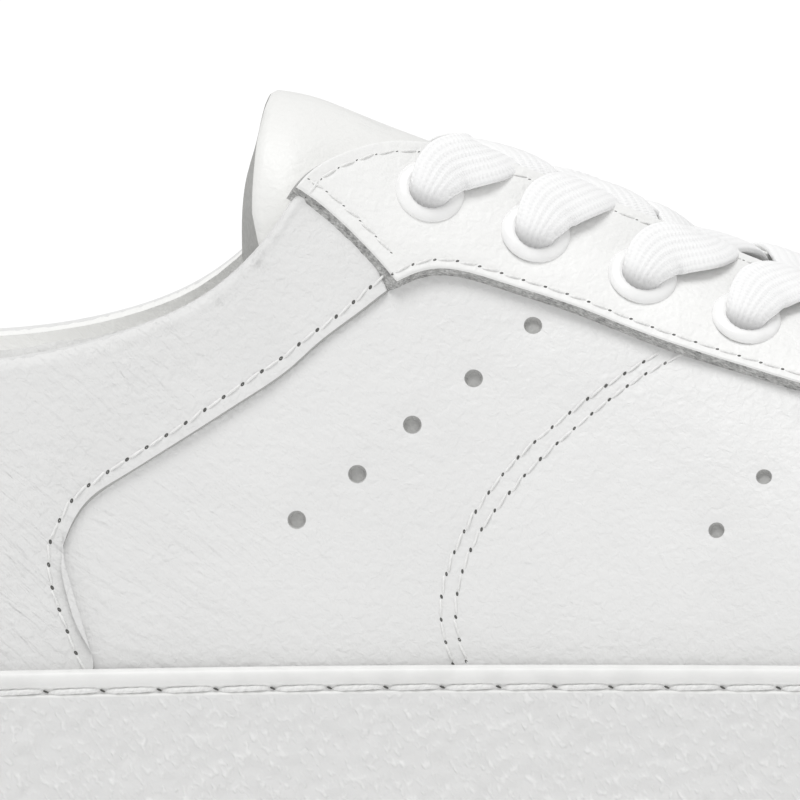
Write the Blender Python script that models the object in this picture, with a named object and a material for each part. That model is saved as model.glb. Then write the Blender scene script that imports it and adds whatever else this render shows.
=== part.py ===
"""Low lace-up barefoot sneaker, right foot, as separate closed solids.

Run it with: blender --background --python part.py

Design frame, in millimetres: s runs from the back of the heel (0) to the toe tip, y is positive
towards the inner (medial) side of the foot and z is up from the floor. place() turns that into the
part's own frame in metres: +X to the toe, +Y medial, +Z up, origin under the middle of the sole.
"""

import math

import bpy
import bmesh
import numpy as np
from mathutils import Vector

MM = 0.001

# ---------------------------------------------------------------- driving sizes, mm
SHOE_LENGTH = 286.0  # heel to toe over the rubber
HEEL_RADIUS = 33.0  # plan radius at the back of the heel
TOE_RADIUS = 32.0  # plan radius at the toe tip
SIDEWALL_HEIGHT = 24.0  # floor to the top of the cup's lip
LIP_THICKNESS = 3.0  # rubber outside the upper
FIT_GAP = 0.3  # between pieces that touch
OVERLAY_GAP = 0.4  # between the upper and the panels on it
CUP_GAP = 0.6  # between the cup and the upper
TREAD_THICKNESS = 6.0  # floor to the bed of the cup
INSOLE_THICKNESS = 3.2
INSOLE_GAP = 0.6  # between the insole and the lining
INSOLE_ROUNDING = 0.8
FEATHER_Z = TREAD_THICKNESS + FIT_GAP  # the line where the upper starts
PLAN_PULL = 8.0  # weight of the plan normal in the direction that a wall leaves the topline
TOE_SPRING = 4.0  # rise of the sole at the toe tip
TOE_SPRING_START = 222.0  # s where the sole leaves the floor
HEEL_LIFT = 1.2  # rise of the sole at the back of the heel
HEEL_LIFT_END = 14.0
WALL = 1.9  # leather and lining of the upper
COLLAR_PADDING = 1.9  # more thickness along the collar
COLLAR_PADDING_END = 104.0  # s on the topline where the collar's foam ends
COLLAR_PADDING_FADE = 12.0  # over which the foam thins out
COLLAR_PADDING_HEIGHTS = (0.6, 0.9)  # on the wall, from no foam to all of it
RIM_SHARES = (0.25, 0.75)  # places across the top edge of the wall
RIM_RISE = 0.5  # of those places, which rounds the edge
EYESTAY_THICKNESS = 1.5
HEEL_PANEL_THICKNESS = 1.0
EYELET_HOLE_RADIUS = 3.3  # punched in upper and eyestay
EYELET_RADIUS = 4.3
EYELET_BORE = 2.4
EYELET_BARREL = 2.95
EYELET_CURL = 0.5  # rounding of the ring's inner edge
EYELET_HOLE_DEPTH = 9.0  # of the cutter, under the eyestay's face
EYELET_HOLE_ABOVE = 3.0
LACE_WIDTH = 6.9
LACE_THICKNESS = 1.7
LACE_ADVANCE = 0.42  # how far a strand moves toward the toe for each mm across the throat
LACE_START_HEIGHT = 0.972  # where a strand's solid starts, between eyelet and edge of the throat
LACE_END_Y = 5.5  # where it ends, past the middle
LACE_CLEARANCE = 0.5  # above the tongue and the eyestay
LACE_BAR_FORWARD = 2.6  # of the last eyelets
LACE_FROM_EYELET = 3.0  # across, from an eyelet to where its strand starts
LACE_TO_MIDDLE = 17.0  # across, from an eyelet to the middle of the throat
LACE_EDGE_FORWARD = 1.2  # how much further on a strand is where it leaves the throat's edge
LACE_EDGE_LIFT = 0.2
LACE_CREST_LIFT = 0.9
LACE_STEPS = 7
LACE_SECTION = ((-1, 0), (-0.85, -1), (0.85, -1), (1, 0), (0.85, 1), (-0.85, 1))
THROAT_SLOPE = (1.0, 0.0, -0.41)
THROAT_START = 105.0  # s on the topline behind which the collar lies, not the throat
THROAT_FEET = (110.0, 240.0)  # s of the feather line under the throat's two ends
FRONT_FOOT_AHEAD = 40.0  # how far ahead of the throat's front its wall meets the sole
TONGUE_DEPTH = 2.7  # under the outer face of the upper
TONGUE_TIP_THICKNESS = 4.6
TONGUE_THICKNESS = 2.6  # at the toe end
TONGUE_SIDES = (0.30, 0.20, 0.10, 0.0)  # how far down the wall its sides reach, as heights

# Mesh counts
SOLE_COLUMNS = 72
INSOLE_COLUMNS = 36
UPPER_COLUMNS = 72
UPPER_ROWS = 8
PANEL_COLUMNS = 41
PANEL_ROWS = 6
EYESTAY_COLUMNS = 43
EYESTAY_ROWS = 4
TONGUE_COLUMNS_ACROSS = 13
TONGUE_ROWS_ALONG = 13
EYELET_SIDES = 10
TOPLINE_SAMPLES = 60
FEATHER_SAMPLES = 40
WALL_SAMPLES = 201
THROAT_SAMPLES = 200
NEWTON_STEPS = 40
SHARP_ANGLE = 40.0

# Tread: channels between chevron lugs, in two zones along the sole
TREAD_ZONES = ((24.0, 100.0), (150.0, 262.0))
TREAD_PITCH = 9.5
POCKET_LENGTH = 4.0
POCKET_DEPTH = 1.6
CHEVRON = 5.0
TREAD_RIM = 9.0
POCKET_BELOW = 3.0  # how far the cutter reaches under the floor

# Cup: its outside from the floor up, then the levels of its inside from the lip down.
CUP_COLUMNS = ("inset", "z")
CUP_ROWS = (
    (1.6, 0.0),
    (0.5, 1.2),
    (0.0, 9.0),
    (0.3, SIDEWALL_HEIGHT - 2.0),
    (0.8, SIDEWALL_HEIGHT - 0.5),
    (1.3, SIDEWALL_HEIGHT),
)
CUP_INSIDE_LEVELS = (SIDEWALL_HEIGHT - 0.4, 19.5, 13.5, TREAD_THICKNESS)

# Plan of the sole: the middle of each section and half its width.
OUTLINE_COLUMNS = ("s", "centre", "half_width")
OUTLINE_ROWS = (
    (16, -0.2, 27.6),
    (30, -0.5, 33.6),
    (50, -0.7, 35.9),
    (75, -1.2, 35.0),
    (100, -2.4, 33.8),
    (125, -3.6, 34.6),
    (150, -4.0, 38.6),
    (175, -3.2, 45.2),
    (195, -1.6, 50.2),
    (212, -0.2, 52.2),
    (228, 1.2, 51.6),
    (243, 2.6, 48.2),
    (257, 4.0, 42.2),
    (269, 5.4, 33.6),
    (278, 6.6, 23.0),
)
AXIS_AT_HEEL = 0.0
AXIS_AT_TOE = 8.0

# Stations of the upper. Each joins a point of the feather line (s_foot) to one of the topline.
# rise and flare lean the wall at its foot; spread and drop aim it where it ends at the topline.
STATION_COLUMNS = (
    "s_foot", "s_top", "y_outer", "y_inner", "z_outer", "z_inner", "rise", "flare", "spread", "drop"
)
STATION_ROWS = (
    (0, 9.6, 0.0, 0.0, 76.0, 76.0, 25.0, 1.6, 3.4, 20.0),
    (9, 13.0, -14.5, 14.5, 75.0, 75.0, 25.0, 1.5, 3.2, 20.0),
    (24, 25.0, -23.6, 23.6, 70.4, 70.4, 24.0, 1.2, 3.0, 18.0),
    (45, 44.0, -27.4, 27.6, 65.0, 65.2, 23.0, 1.0, 3.2, 17.0),
    (70, 68.0, -28.0, 27.8, 62.6, 63.0, 22.0, 0.8, 3.6, 17.0),
    (90, 88.5, -26.4, 26.2, 67.0, 66.6, 24.0, 0.6, 4.2, 18.0),
    (101, 98.8, -24.8, 24.6, 72.6, 72.2, 27.0, 0.6, 4.8, 20.0),
    (108, 105.0, -23.0, 22.8, 79.2, 78.5, 30.0, 0.6, 5.6, 21.0),
    (113, 108.2, -20.8, 20.6, 83.7, 82.8, 31.0, 0.6, 7.5, 20.5),
    (119, 112.8, -17.4, 17.4, 86.5, 85.3, 31.0, 0.6, 10.5, 19.0),
    (128, 120.6, -13.6, 13.8, 87.7, 86.1, 31.0, 0.6, 13.0, 17.0),
    (140, 133.0, -12.2, 12.4, 84.8, 83.2, 30.0, 0.5, 14.5, 16.0),
    (156, 148.0, -12.0, 12.2, 78.7, 78.0, 28.0, 0.5, 17.0, 15.0),
    (175, 163.0, -11.6, 12.0, 72.2, 72.3, 26.0, 0.5, 21.0, 13.0),
    (195, 177.0, -11.2, 11.8, 66.2, 66.2, 25.5, 0.4, 27.0, 10.5),
    (216, 188.5, -10.2, 11.0, 61.4, 61.4, 28.0, 0.4, 33.0, 9.8),
    (240, 196.0, -7.6, 8.8, 58.6, 58.6, 31.5, 0.5, 41.0, 9.2),
    (265, 199.4, -3.4, 5.4, 57.4, 57.4, 34.5, 0.7, 49.0, 8.8),
    (286, 200.2, 1.2, 1.2, 57.1, 57.1, 36.0, 0.9, 52.0, 8.6),
)

# Centre of each eyelet, seen from the side. The inner topline is lower, and so are its first eyelets.
EYELET_COLUMNS = ("s", "z_outer", "z_inner")
EYELET_ROWS = (
    (123.85, 81.5, 80.3),
    (137.15, 76.1, 75.2),
    (150.5, 70.4, 70.1),
    (163.5, 64.9, 64.9),
    (176.6, 60.4, 60.4),
    (189.5, 56.9, 56.9),
)

# Lower edge of the eyestay: seen from the side, then seen from above round the front of the throat.
EYESTAY_LOWER = (
    (119.1, 71.7),
    (124.8, 73.2),
    (132.8, 71.4),
    (142.8, 67.9),
    (152.8, 63.8),
    (162.8, 60.4),
    (172.0, 57.5),
    (181.0, 55.2),
    (190.0, 53.4),
)
EYESTAY_FRONT = ((202.5, -24.1), (211.6, -13.4), (215.0, 1.1), (211.6, 15.6), (202.5, 26.3))
EYESTAY_CORNER = (1.345, 1.0)  # turn and height of its back corner on the topline
PANEL_TO_EYESTAY = 0.006  # turn between the heel panel and the eyestay, which butt together

# Front edge of the heel panel, seen from the side, from the eyestay down into the cup.
PANEL_EDGE = (
    (118.6, 70.2),
    (114.4, 67.2),
    (107.5, 61.9),
    (100.0, 56.8),
    (92.6, 52.3),
    (84.6, 47.6),
    (80.8, 45.1),
    (78.3, 41.5),
    (77.2, 37.6),
    (77.8, 33.4),
    (79.2, 29.0),
    (81.0, 25.0),
)

# Tongue: a section for each row, under the throat's edges; edge is the height of the upper there.
TONGUE_COLUMNS = ("s_foot", "edge", "s_crest", "z_crest")
TONGUE_ROWS = (
    (112, 1.0, 109.2, 93.9),
    (118, 1.0, 114.0, 92.1),
    (127, 1.0, 121.0, 89.2),
    (140, 1.0, 133.0, 84.4),
    (156, 1.0, 148.0, 78.4),
    (175, 1.0, 163.0, 71.9),
    (195, 1.0, 177.0, 65.4),
    (214, 0.98, 188.0, 60.0),
    (232, 0.93, 197.0, 55.7),
    (246, 0.86, 205.0, 51.8),
)
# The tongue's free end: half of its section, from the edge inside the collar to the crest.
TONGUE_END_COLUMNS = ("s", "y", "z")
TONGUE_END = (
    (100.4, 19.6, 66.0),
    (100.3, 19.4, 74.0),
    (100.4, 18.2, 80.5),
    (101.0, 15.4, 86.3),
    (102.3, 10.4, 91.4),
    (103.7, 4.8, 94.2),
    (104.2, 0.0, 94.8),
)


# ---------------------------------------------------------------- splines
def column(rows, names, name):
    return np.array([row[names.index(name)] for row in rows], float)


def cubic(knots, values, at, period=None):
    """A smooth (C2) cubic through the knots: natural at its ends, or closed with the given period."""
    knots, values = np.asarray(knots, float), np.asarray(values, float)
    count = len(knots)
    if period:
        knots = np.append(knots, knots[0] + period)
        values = np.append(values, values[0])
        at = (np.asarray(at, float) - knots[0]) % period + knots[0]
    gap = np.diff(knots)
    slope = np.diff(values) / gap
    size = count if period else len(knots)
    system, right = np.zeros((size, size)), np.zeros(size)
    for i in range(size):
        before, after = (i - 1) % len(gap), i % len(gap)
        if not period and i in (0, size - 1):
            system[i, i] = 1.0
            continue
        system[i, (i - 1) % size] += gap[before]
        system[i, i] += 2 * (gap[before] + gap[after])
        system[i, (i + 1) % size] += gap[after]
        right[i] = 6 * (slope[after] - slope[before])
    bend = np.linalg.solve(system, right)
    if period:
        bend = np.append(bend, bend[0])
    cell = np.clip(np.searchsorted(knots, at, side="right") - 1, 0, len(gap) - 1)
    width, low = gap[cell], np.asarray(at) - knots[cell]
    high = width - low
    return (
        (bend[cell] * high**3 + bend[cell + 1] * low**3) / (6 * width)
        + (values[cell] / width - bend[cell] * width / 6) * high
        + (values[cell + 1] / width - bend[cell + 1] * width / 6) * low
    )


def smoothstep(x, start, end):
    u = np.clip((x - start) / (end - start), 0.0, 1.0)
    return u * u * (3 - 2 * u)


# ---------------------------------------------------------------- the last
# turn is the way round the shoe: 0 at the heel, pi at the toe, the outer side in between,
# and from pi to 2 pi back along the inner side.
def s_at(turn):
    return SHOE_LENGTH * (1 - np.cos(turn)) / 2


def turn_at(s):
    return np.arccos(1 - 2 * np.asarray(s, float) / SHOE_LENGTH)


def plan(turn):
    """The sole's outline, (s, y)."""
    s = s_at(turn)
    row_s = column(OUTLINE_ROWS, OUTLINE_COLUMNS, "s")
    oval = column(OUTLINE_ROWS, OUTLINE_COLUMNS, "half_width") / np.sin(turn_at(row_s))
    ends = [math.sqrt(radius * SHOE_LENGTH / 2) for radius in (HEEL_RADIUS, TOE_RADIUS)]
    knots = np.concatenate([[0], row_s, [SHOE_LENGTH]])
    fullness = cubic(knots, np.concatenate([ends[:1], oval, ends[1:]]), s)
    middle = column(OUTLINE_ROWS, OUTLINE_COLUMNS, "centre")
    centre = cubic(knots, np.concatenate([[AXIS_AT_HEEL], middle, [AXIS_AT_TOE]]), s)
    return np.stack([s, centre - np.sin(turn) * fullness], axis=-1)


def outward(turn):
    """Unit normal of the outline in plan, pointing away from the foot."""
    step = 1e-4
    along = plan(turn + step) - plan(turn - step)
    normal = np.stack([along[..., 1], -along[..., 0]], axis=-1)
    return normal / np.linalg.norm(normal, axis=-1, keepdims=True)


def outline(turn, inset=0.0):
    return plan(turn) - outward(turn) * np.asarray(inset, float)[..., None]


def ground(s):
    """Height of the sole's underside: flat, with toe spring and a little lift at the heel."""
    toe = np.clip((s - TOE_SPRING_START) / (SHOE_LENGTH - TOE_SPRING_START), 0, 1)
    heel = np.clip(1 - s / HEEL_LIFT_END, 0, 1)
    return TOE_SPRING * toe**2 + HEEL_LIFT * heel**2


def station_loop(name, turn):
    """One column of the stations as a closed smooth function round the shoe."""
    s_foot = column(STATION_ROWS, STATION_COLUMNS, "s_foot")
    out = turn_at(np.clip(s_foot, 0, SHOE_LENGTH))
    sides = {"y_top": ("y_outer", "y_inner"), "z_top": ("z_outer", "z_inner")}
    outer, inner = (column(STATION_ROWS, STATION_COLUMNS, side) for side in sides.get(name, (name, name)))
    knots = np.concatenate([out, 2 * math.pi - out[-2:0:-1]])
    values = np.concatenate([outer, inner[-2:0:-1]])
    return cubic(knots, values, turn, period=2 * math.pi)


def frame_origin():
    """Middle of the outline's box, on the floor."""
    edge = plan(np.linspace(0, 2 * math.pi, 721))
    return np.array([*((edge.min(axis=0) + edge.max(axis=0)) / 2), 0.0])


def upper_point(turn, height):
    """Outer face of the upper: height 0 at the feather line, 1 at the topline."""
    turn, height = np.broadcast_arrays(np.asarray(turn, float), np.asarray(height, float))
    foot = outline(turn, LIP_THICKNESS + FIT_GAP)
    lift = ground(s_at(turn))
    top = np.stack([station_loop("s_top", turn), station_loop("y_top", turn)], axis=-1)
    normal = outward(turn)
    away = PLAN_PULL * normal + foot - top
    away = away / np.linalg.norm(away, axis=-1, keepdims=True)
    z_foot, z_top = FEATHER_Z + lift, station_loop("z_top", turn)
    first = foot + normal * station_loop("flare", turn)[..., None]
    second = top + away * station_loop("spread", turn)[..., None]
    poles = (
        np.concatenate([foot, z_foot[..., None]], axis=-1),
        np.concatenate([first, (z_foot + station_loop("rise", turn))[..., None]], axis=-1),
        np.concatenate([second, (z_top - station_loop("drop", turn))[..., None]], axis=-1),
        np.concatenate([top, z_top[..., None]], axis=-1),
    )
    t = height[..., None]
    return (
        poles[0] * (1 - t) ** 3
        + poles[1] * 3 * t * (1 - t) ** 2
        + poles[2] * 3 * t**2 * (1 - t)
        + poles[3] * t**3
    )


def upper_normal(turn, height):
    """Unit normal of the outer face, pointing out of the shoe."""
    step = 1e-3
    round_ = upper_point(turn + step, height) - upper_point(turn - step, height)
    up = upper_point(turn, height + step) - upper_point(turn, height - step)
    normal = np.cross(round_, up)
    return normal / np.linalg.norm(normal, axis=-1, keepdims=True)


def upper_offset(turn, height, distance):
    """A point that far outside (or, if negative, inside) the outer face."""
    distance = np.asarray(distance, float)[..., None]
    return upper_point(turn, height) + upper_normal(turn, height) * distance


def locate(s, across, view, turn, height):
    """Turn and height of the point that looks to be at (s, z) from the side, or (s, y) from above,
    found by Newton's method from a first guess."""
    axis = {"side": 2, "above": 1}[view]
    for _ in range(NEWTON_STEPS):
        here = upper_point(turn, height)
        miss = np.array([s - here[0], across - here[axis]])
        step = 1e-4
        by_turn = (upper_point(turn + step, height) - here) / step
        by_height = (upper_point(turn, height + step) - here) / step
        jacobian = np.array([[by_turn[0], by_height[0]], [by_turn[axis], by_height[axis]]])
        move = np.linalg.solve(jacobian, miss)
        turn += float(np.clip(move[0], -0.08, 0.08))
        height = min(1.05, max(0.0, height + float(np.clip(move[1], -0.15, 0.15))))
    return turn, height


def height_at(turn, z):
    """Height on the upper of the point at that z, straight up its wall."""
    heights = np.linspace(0, 1, WALL_SAMPLES)
    return float(np.interp(z, upper_point(turn, heights)[:, 2], heights))


def side_curve(points, side):
    """Turn and height of each (s, z) of a curve seen from the side, on the outer or inner side."""
    found = []
    for s, z in points:
        turn = float(turn_at(s))
        if side == "inner":
            turn = 2 * math.pi - turn
        guess = min(0.95, max(0.02, (z - FEATHER_Z) / (float(station_loop("z_top", turn)) - FEATHER_Z)))
        found.append(locate(s, z, "side", turn, guess))
    return found


# ---------------------------------------------------------------- meshes
def place(points):
    """Design millimetres to the part's own frame in metres."""
    points = np.asarray(points, float).reshape(-1, 3)
    return (points - frame_origin()) * MM


def new_object(name, points, faces, material):
    mesh = bpy.data.meshes.new(name)
    mesh.from_pydata(place(points).tolist(), [], [list(face) for face in faces])
    shell = bmesh.new()
    shell.from_mesh(mesh)
    bmesh.ops.recalc_face_normals(shell, faces=shell.faces)
    shell.to_mesh(mesh)
    shell.free()
    mesh.materials.append(material)
    mesh.shade_smooth()
    mesh.set_sharp_from_angle(angle=math.radians(SHARP_ANGLE))
    thing = bpy.data.objects.new(name, mesh)
    bpy.context.scene.collection.objects.link(thing)
    return thing


def ring_faces(rings, columns, wrap=False):
    """Quads between closed rings of points; wrap joins the last ring to the first."""
    faces = []
    for row in range(rings if wrap else rings - 1):
        here, above = row * columns, ((row + 1) % rings) * columns
        for i in range(columns):
            j = (i + 1) % columns
            faces.append((here + i, here + j, above + j, above + i))
    return faces


def cap_faces(start, columns):
    """Strips straight across a ring, from each point to its partner on the other side of the foot."""
    faces = [(start, start + 1, start + columns - 1)]
    half = columns // 2
    for i in range(1, half - 1):
        faces.append((start + i, start + i + 1, start + columns - i - 1, start + columns - i))
    faces.append((start + half - 1, start + half, start + half + 1))
    return faces


def capped_rings(name, rings, material):
    """A solid skinned over stacked rings and closed by strips across the first and the last."""
    columns = len(rings[0])
    faces = ring_faces(len(rings), columns)
    faces += cap_faces(0, columns) + cap_faces((len(rings) - 1) * columns, columns)
    return new_object(name, np.concatenate(rings), faces, material)


def slab(name, under, over, material):
    """A closed sheet between two grids of points of the same size."""
    rows, columns = under.shape[:2]
    faces = []
    count = rows * columns
    for r in range(rows - 1):
        for c in range(columns - 1):
            corner = r * columns + c
            quad = (corner, corner + 1, corner + columns + 1, corner + columns)
            faces.append(quad)
            faces.append(tuple(count + k for k in quad))
    border = [(0, c) for c in range(columns)]
    border += [(r, columns - 1) for r in range(1, rows)]
    border += [(rows - 1, c) for c in range(columns - 2, -1, -1)]
    border += [(r, 0) for r in range(rows - 2, 0, -1)]
    loop = [r * columns + c for r, c in border]
    for a, b in zip(loop, loop[1:] + loop[:1]):
        faces.append((a, b, count + b, count + a))
    points = np.concatenate([under.reshape(-1, 3), over.reshape(-1, 3)])
    return new_object(name, points, faces, material)


def boolean(target, tool, operation):
    cut = target.modifiers.new(operation.lower(), "BOOLEAN")
    cut.operation = operation
    cut.solver = "EXACT"
    cut.object = tool
    tool.hide_render = True
    tool.display_type = "WIRE"


def material(name, colour, roughness, metallic=0.0):
    finish = bpy.data.materials.new(name)
    finish.use_nodes = True
    shader = finish.node_tree.nodes["Principled BSDF"]
    shader.inputs["Base Color"].default_value = (*colour, 1.0)
    shader.inputs["Roughness"].default_value = roughness
    shader.inputs["Metallic"].default_value = metallic
    return finish


# ---------------------------------------------------------------- sole
def cup_ring(turns, inset, z):
    flat = outline(turns, np.full(len(turns), inset))
    height = z + ground(s_at(turns))
    return np.concatenate([flat, height[:, None]], axis=1)


def cup_inside(turns, z):
    """Ring of the cup's inner face at that z, just outside the upper."""
    points = []
    for turn in turns:
        level = z + float(ground(s_at(turn)))
        point = upper_offset(turn, height_at(turn, level), CUP_GAP)
        points.append((point[0], point[1], level))
    return np.array(points)


def tread_pocket(s_back):
    """A chevron-shaped prism that cuts one channel between two lugs."""
    corners = []
    for s_edge in (s_back, s_back + POCKET_LENGTH):
        row = []
        for share in (-1, 0, 1):
            s = s_edge + CHEVRON * (1 - abs(share))
            turn = float(turn_at(s))
            sides = np.array([turn, 2 * math.pi - turn])
            reach = outline(sides, np.full(2, TREAD_RIM))[:, 1]
            y = (reach[0] + reach[1]) / 2 + share * (reach[1] - reach[0]) / 2
            row.append((s, y))
        corners += row if not corners else row[::-1]
    roof = POCKET_DEPTH + float(ground(s_back + POCKET_LENGTH / 2))
    points = [(s, y, z) for z in (-POCKET_BELOW, roof) for s, y in corners]
    count = len(corners)
    sides = [(i, (i + 1) % count, count + (i + 1) % count, count + i) for i in range(count)]
    faces = sides + [tuple(range(count)), tuple(range(count, 2 * count))]
    return points, faces


def tread_cutter(rubber):
    """All channels as one guide object."""
    points, faces = [], []
    for start, stop in TREAD_ZONES:
        for number in range(int((stop - start) / TREAD_PITCH)):
            corners, sides = tread_pocket(start + number * TREAD_PITCH)
            faces += [tuple(len(points) + i for i in side) for side in sides]
            points += corners
    return new_object("guide_tread", points, faces, rubber)


def make_cupsole(rubber):
    turns = np.arange(SOLE_COLUMNS) * 2 * math.pi / SOLE_COLUMNS
    rings = [cup_ring(turns, inset, z) for inset, z in CUP_ROWS]
    rings += [cup_inside(turns, z) for z in CUP_INSIDE_LEVELS]
    cup = capped_rings("cupsole", rings, rubber)
    boolean(cup, tread_cutter(rubber), "DIFFERENCE")


def make_insole(cloth):
    turns = np.arange(INSOLE_COLUMNS) * 2 * math.pi / INSOLE_COLUMNS
    inset = LIP_THICKNESS + FIT_GAP + WALL + INSOLE_GAP
    top = FEATHER_Z + INSOLE_THICKNESS
    profile = (
        (inset + INSOLE_ROUNDING / 2, FEATHER_Z),
        (inset, FEATHER_Z + INSOLE_ROUNDING),
        (inset, top - INSOLE_ROUNDING),
        (inset + INSOLE_ROUNDING, top),
    )
    capped_rings("insole", [cup_ring(turns, side, z) for side, z in profile], cloth)


# ---------------------------------------------------------------- upper and overlays
def wall_thickness(turn, height):
    """Leather and lining, with the foam of the collar near the topline."""
    s_top = station_loop("s_top", turn)
    padded = 1 - smoothstep(s_top, COLLAR_PADDING_END - COLLAR_PADDING_FADE, COLLAR_PADDING_END)
    return WALL + COLLAR_PADDING * padded * smoothstep(height, *COLLAR_PADDING_HEIGHTS)


def make_upper(leather):
    turns = np.arange(UPPER_COLUMNS) * 2 * math.pi / UPPER_COLUMNS
    rings = []
    outside = np.linspace(0, 1, UPPER_ROWS)
    for height in outside:
        rings.append(upper_offset(turns, height, np.zeros(len(turns))))
    thickness = wall_thickness(turns, 1.0)
    for share in RIM_SHARES:
        rim = upper_offset(turns, 1.0, -share * thickness)
        rim[:, 2] += RIM_RISE
        rings.append(rim)
    for height in outside[::-1]:
        rings.append(upper_offset(turns, height, -wall_thickness(turns, height)))
    faces = ring_faces(len(rings), len(turns), wrap=True)
    upper = new_object("upper", np.concatenate(rings), faces, leather)
    boolean(upper, eyelet_cutter(leather), "DIFFERENCE")


def ruled(top, bottom, rows):
    """Turns and heights of a grid between two curves that have the same number of points."""
    share = np.linspace(0, 1, rows)[:, None, None]
    return np.asarray(top)[None] * (1 - share) + np.asarray(bottom)[None] * share


def evenly(curve, count):
    """The same curve (rows of turn and height) with count points evenly along it on the upper."""
    curve = np.asarray(curve, float)
    places = upper_point(curve[:, 0], curve[:, 1])
    run = np.concatenate([[0], np.cumsum(np.linalg.norm(np.diff(places, axis=0), axis=1))])
    at = np.linspace(0, run[-1], count)
    return np.stack([cubic(run, curve[:, k], at) for k in (0, 1)], axis=1)


def overlay(name, top, bottom, rows, thickness, leather):
    grid = ruled(top, bottom, rows)
    turn, height = grid[..., 0], grid[..., 1]
    under = upper_offset(turn, height, np.full(turn.shape, OVERLAY_GAP))
    over = upper_offset(turn, height, np.full(turn.shape, OVERLAY_GAP + thickness))
    return slab(name, under, over, leather)


def make_eyestay(leather):
    lower = side_curve(EYESTAY_LOWER, "outer")
    front = []
    for s, y in EYESTAY_FRONT:
        turn = float(turn_at(s + FRONT_FOOT_AHEAD))
        front.append(locate(s, y, "above", turn if y < 0 else 2 * math.pi - turn, 0.8))
    bottom = lower + front + side_curve(EYESTAY_LOWER[::-1], "inner")
    corner = EYESTAY_CORNER[0]
    top = [(turn, EYESTAY_CORNER[1]) for turn in np.linspace(corner, 2 * math.pi - corner, TOPLINE_SAMPLES)]
    stay = overlay(
        "eyestay",
        evenly(top, EYESTAY_COLUMNS),
        evenly(bottom, EYESTAY_COLUMNS),
        EYESTAY_ROWS,
        EYESTAY_THICKNESS,
        leather,
    )
    boolean(stay, bpy.data.objects["guide_eyelets"], "DIFFERENCE")


def make_heel_panel(leather):
    edge = side_curve(PANEL_EDGE, "outer")
    edge_inner = [(turn - 2 * math.pi, height) for turn, height in side_curve(PANEL_EDGE, "inner")]
    foot = edge[-1][0]
    turns = np.linspace(-foot, foot, FEATHER_SAMPLES)
    levels = PANEL_EDGE[-1][1] + ground(s_at(turns))
    feather = [(turn, height_at(turn, level)) for turn, level in zip(turns, levels)]
    corner = EYESTAY_CORNER[0] - PANEL_TO_EYESTAY
    top = [(turn, EYESTAY_CORNER[1]) for turn in np.linspace(-corner, corner, TOPLINE_SAMPLES)]
    side = PANEL_COLUMNS // 4
    bottom = np.concatenate(
        [
            evenly(edge_inner, side)[:-1],
            evenly(feather, PANEL_COLUMNS - 2 * side + 2),
            evenly(edge[::-1], side)[1:],
        ]
    )
    overlay("heel_panel", evenly(top, PANEL_COLUMNS), bottom, PANEL_ROWS, HEEL_PANEL_THICKNESS, leather)


# ---------------------------------------------------------------- tongue
def grid_normals(grid):
    along = np.gradient(grid, axis=0)
    across = np.gradient(grid, axis=1)
    normal = np.cross(across, along)
    normal = normal / np.linalg.norm(normal, axis=-1, keepdims=True)
    upward = normal[..., 2].sum() > 0
    return normal if upward else -normal


def through(points, count):
    """count points evenly along a smooth curve through the given ones."""
    points = np.asarray(points, float)
    run = np.concatenate([[0], np.cumsum(np.linalg.norm(np.diff(points, axis=0), axis=1))])
    at = np.linspace(0, run[-1], count)
    return np.stack([cubic(run, points[:, k], at) for k in range(3)], axis=1)


def throat_centre(s):
    """y of the middle of the throat."""
    rows = [row for row in STATION_ROWS if row[1] > THROAT_START]
    return float(np.interp(s, [row[1] for row in rows], [(row[2] + row[3]) / 2 for row in rows]))


def tongue_sections():
    end = [(s, -y, z) for s, y, z in TONGUE_END[:-1]]
    sections = [end + [TONGUE_END[-1]] + [(s, -y, z) for s, y, z in end[::-1]]]
    for s_foot, edge, s_crest, z_crest in TONGUE_ROWS:
        turn = float(turn_at(s_foot))
        heights = edge - np.array(TONGUE_SIDES)
        outer = upper_offset(turn, heights, np.full(len(heights), -TONGUE_DEPTH))
        inner = upper_offset(2 * math.pi - turn, heights, np.full(len(heights), -TONGUE_DEPTH))[::-1]
        crest = [(s_crest, throat_centre(s_crest), z_crest)]
        sections.append(np.concatenate([outer, crest, inner]))
    return [through(section, TONGUE_COLUMNS_ACROSS) for section in sections]


def tongue_face():
    """Outer face of the tongue as a grid: rows from the free end to the toe, columns across."""
    sections = np.stack(tongue_sections())
    columns = [through(sections[:, k], TONGUE_ROWS_ALONG) for k in range(TONGUE_COLUMNS_ACROSS)]
    return np.stack(columns, axis=1)


def make_tongue(leather):
    over = tongue_face()
    thickness = np.linspace(TONGUE_TIP_THICKNESS, TONGUE_THICKNESS, TONGUE_ROWS_ALONG)
    under = over - grid_normals(over) * thickness[:, None, None]
    slab("tongue", under, over, leather)


# ---------------------------------------------------------------- eyelets and lace
def eyelet_frames():
    """Centre on the eyestay's face and outward direction of each eyelet, by side and number."""
    frames = {}
    s = column(EYELET_ROWS, EYELET_COLUMNS, "s")
    for side in ("outer", "inner"):
        z = column(EYELET_ROWS, EYELET_COLUMNS, "z_" + side)
        for number, (turn, height) in enumerate(side_curve(list(zip(s, z)), side), start=1):
            centre = upper_offset(turn, height, OVERLAY_GAP + EYESTAY_THICKNESS)
            frames[side, number] = (centre, upper_normal(turn, height))
    return frames


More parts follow.
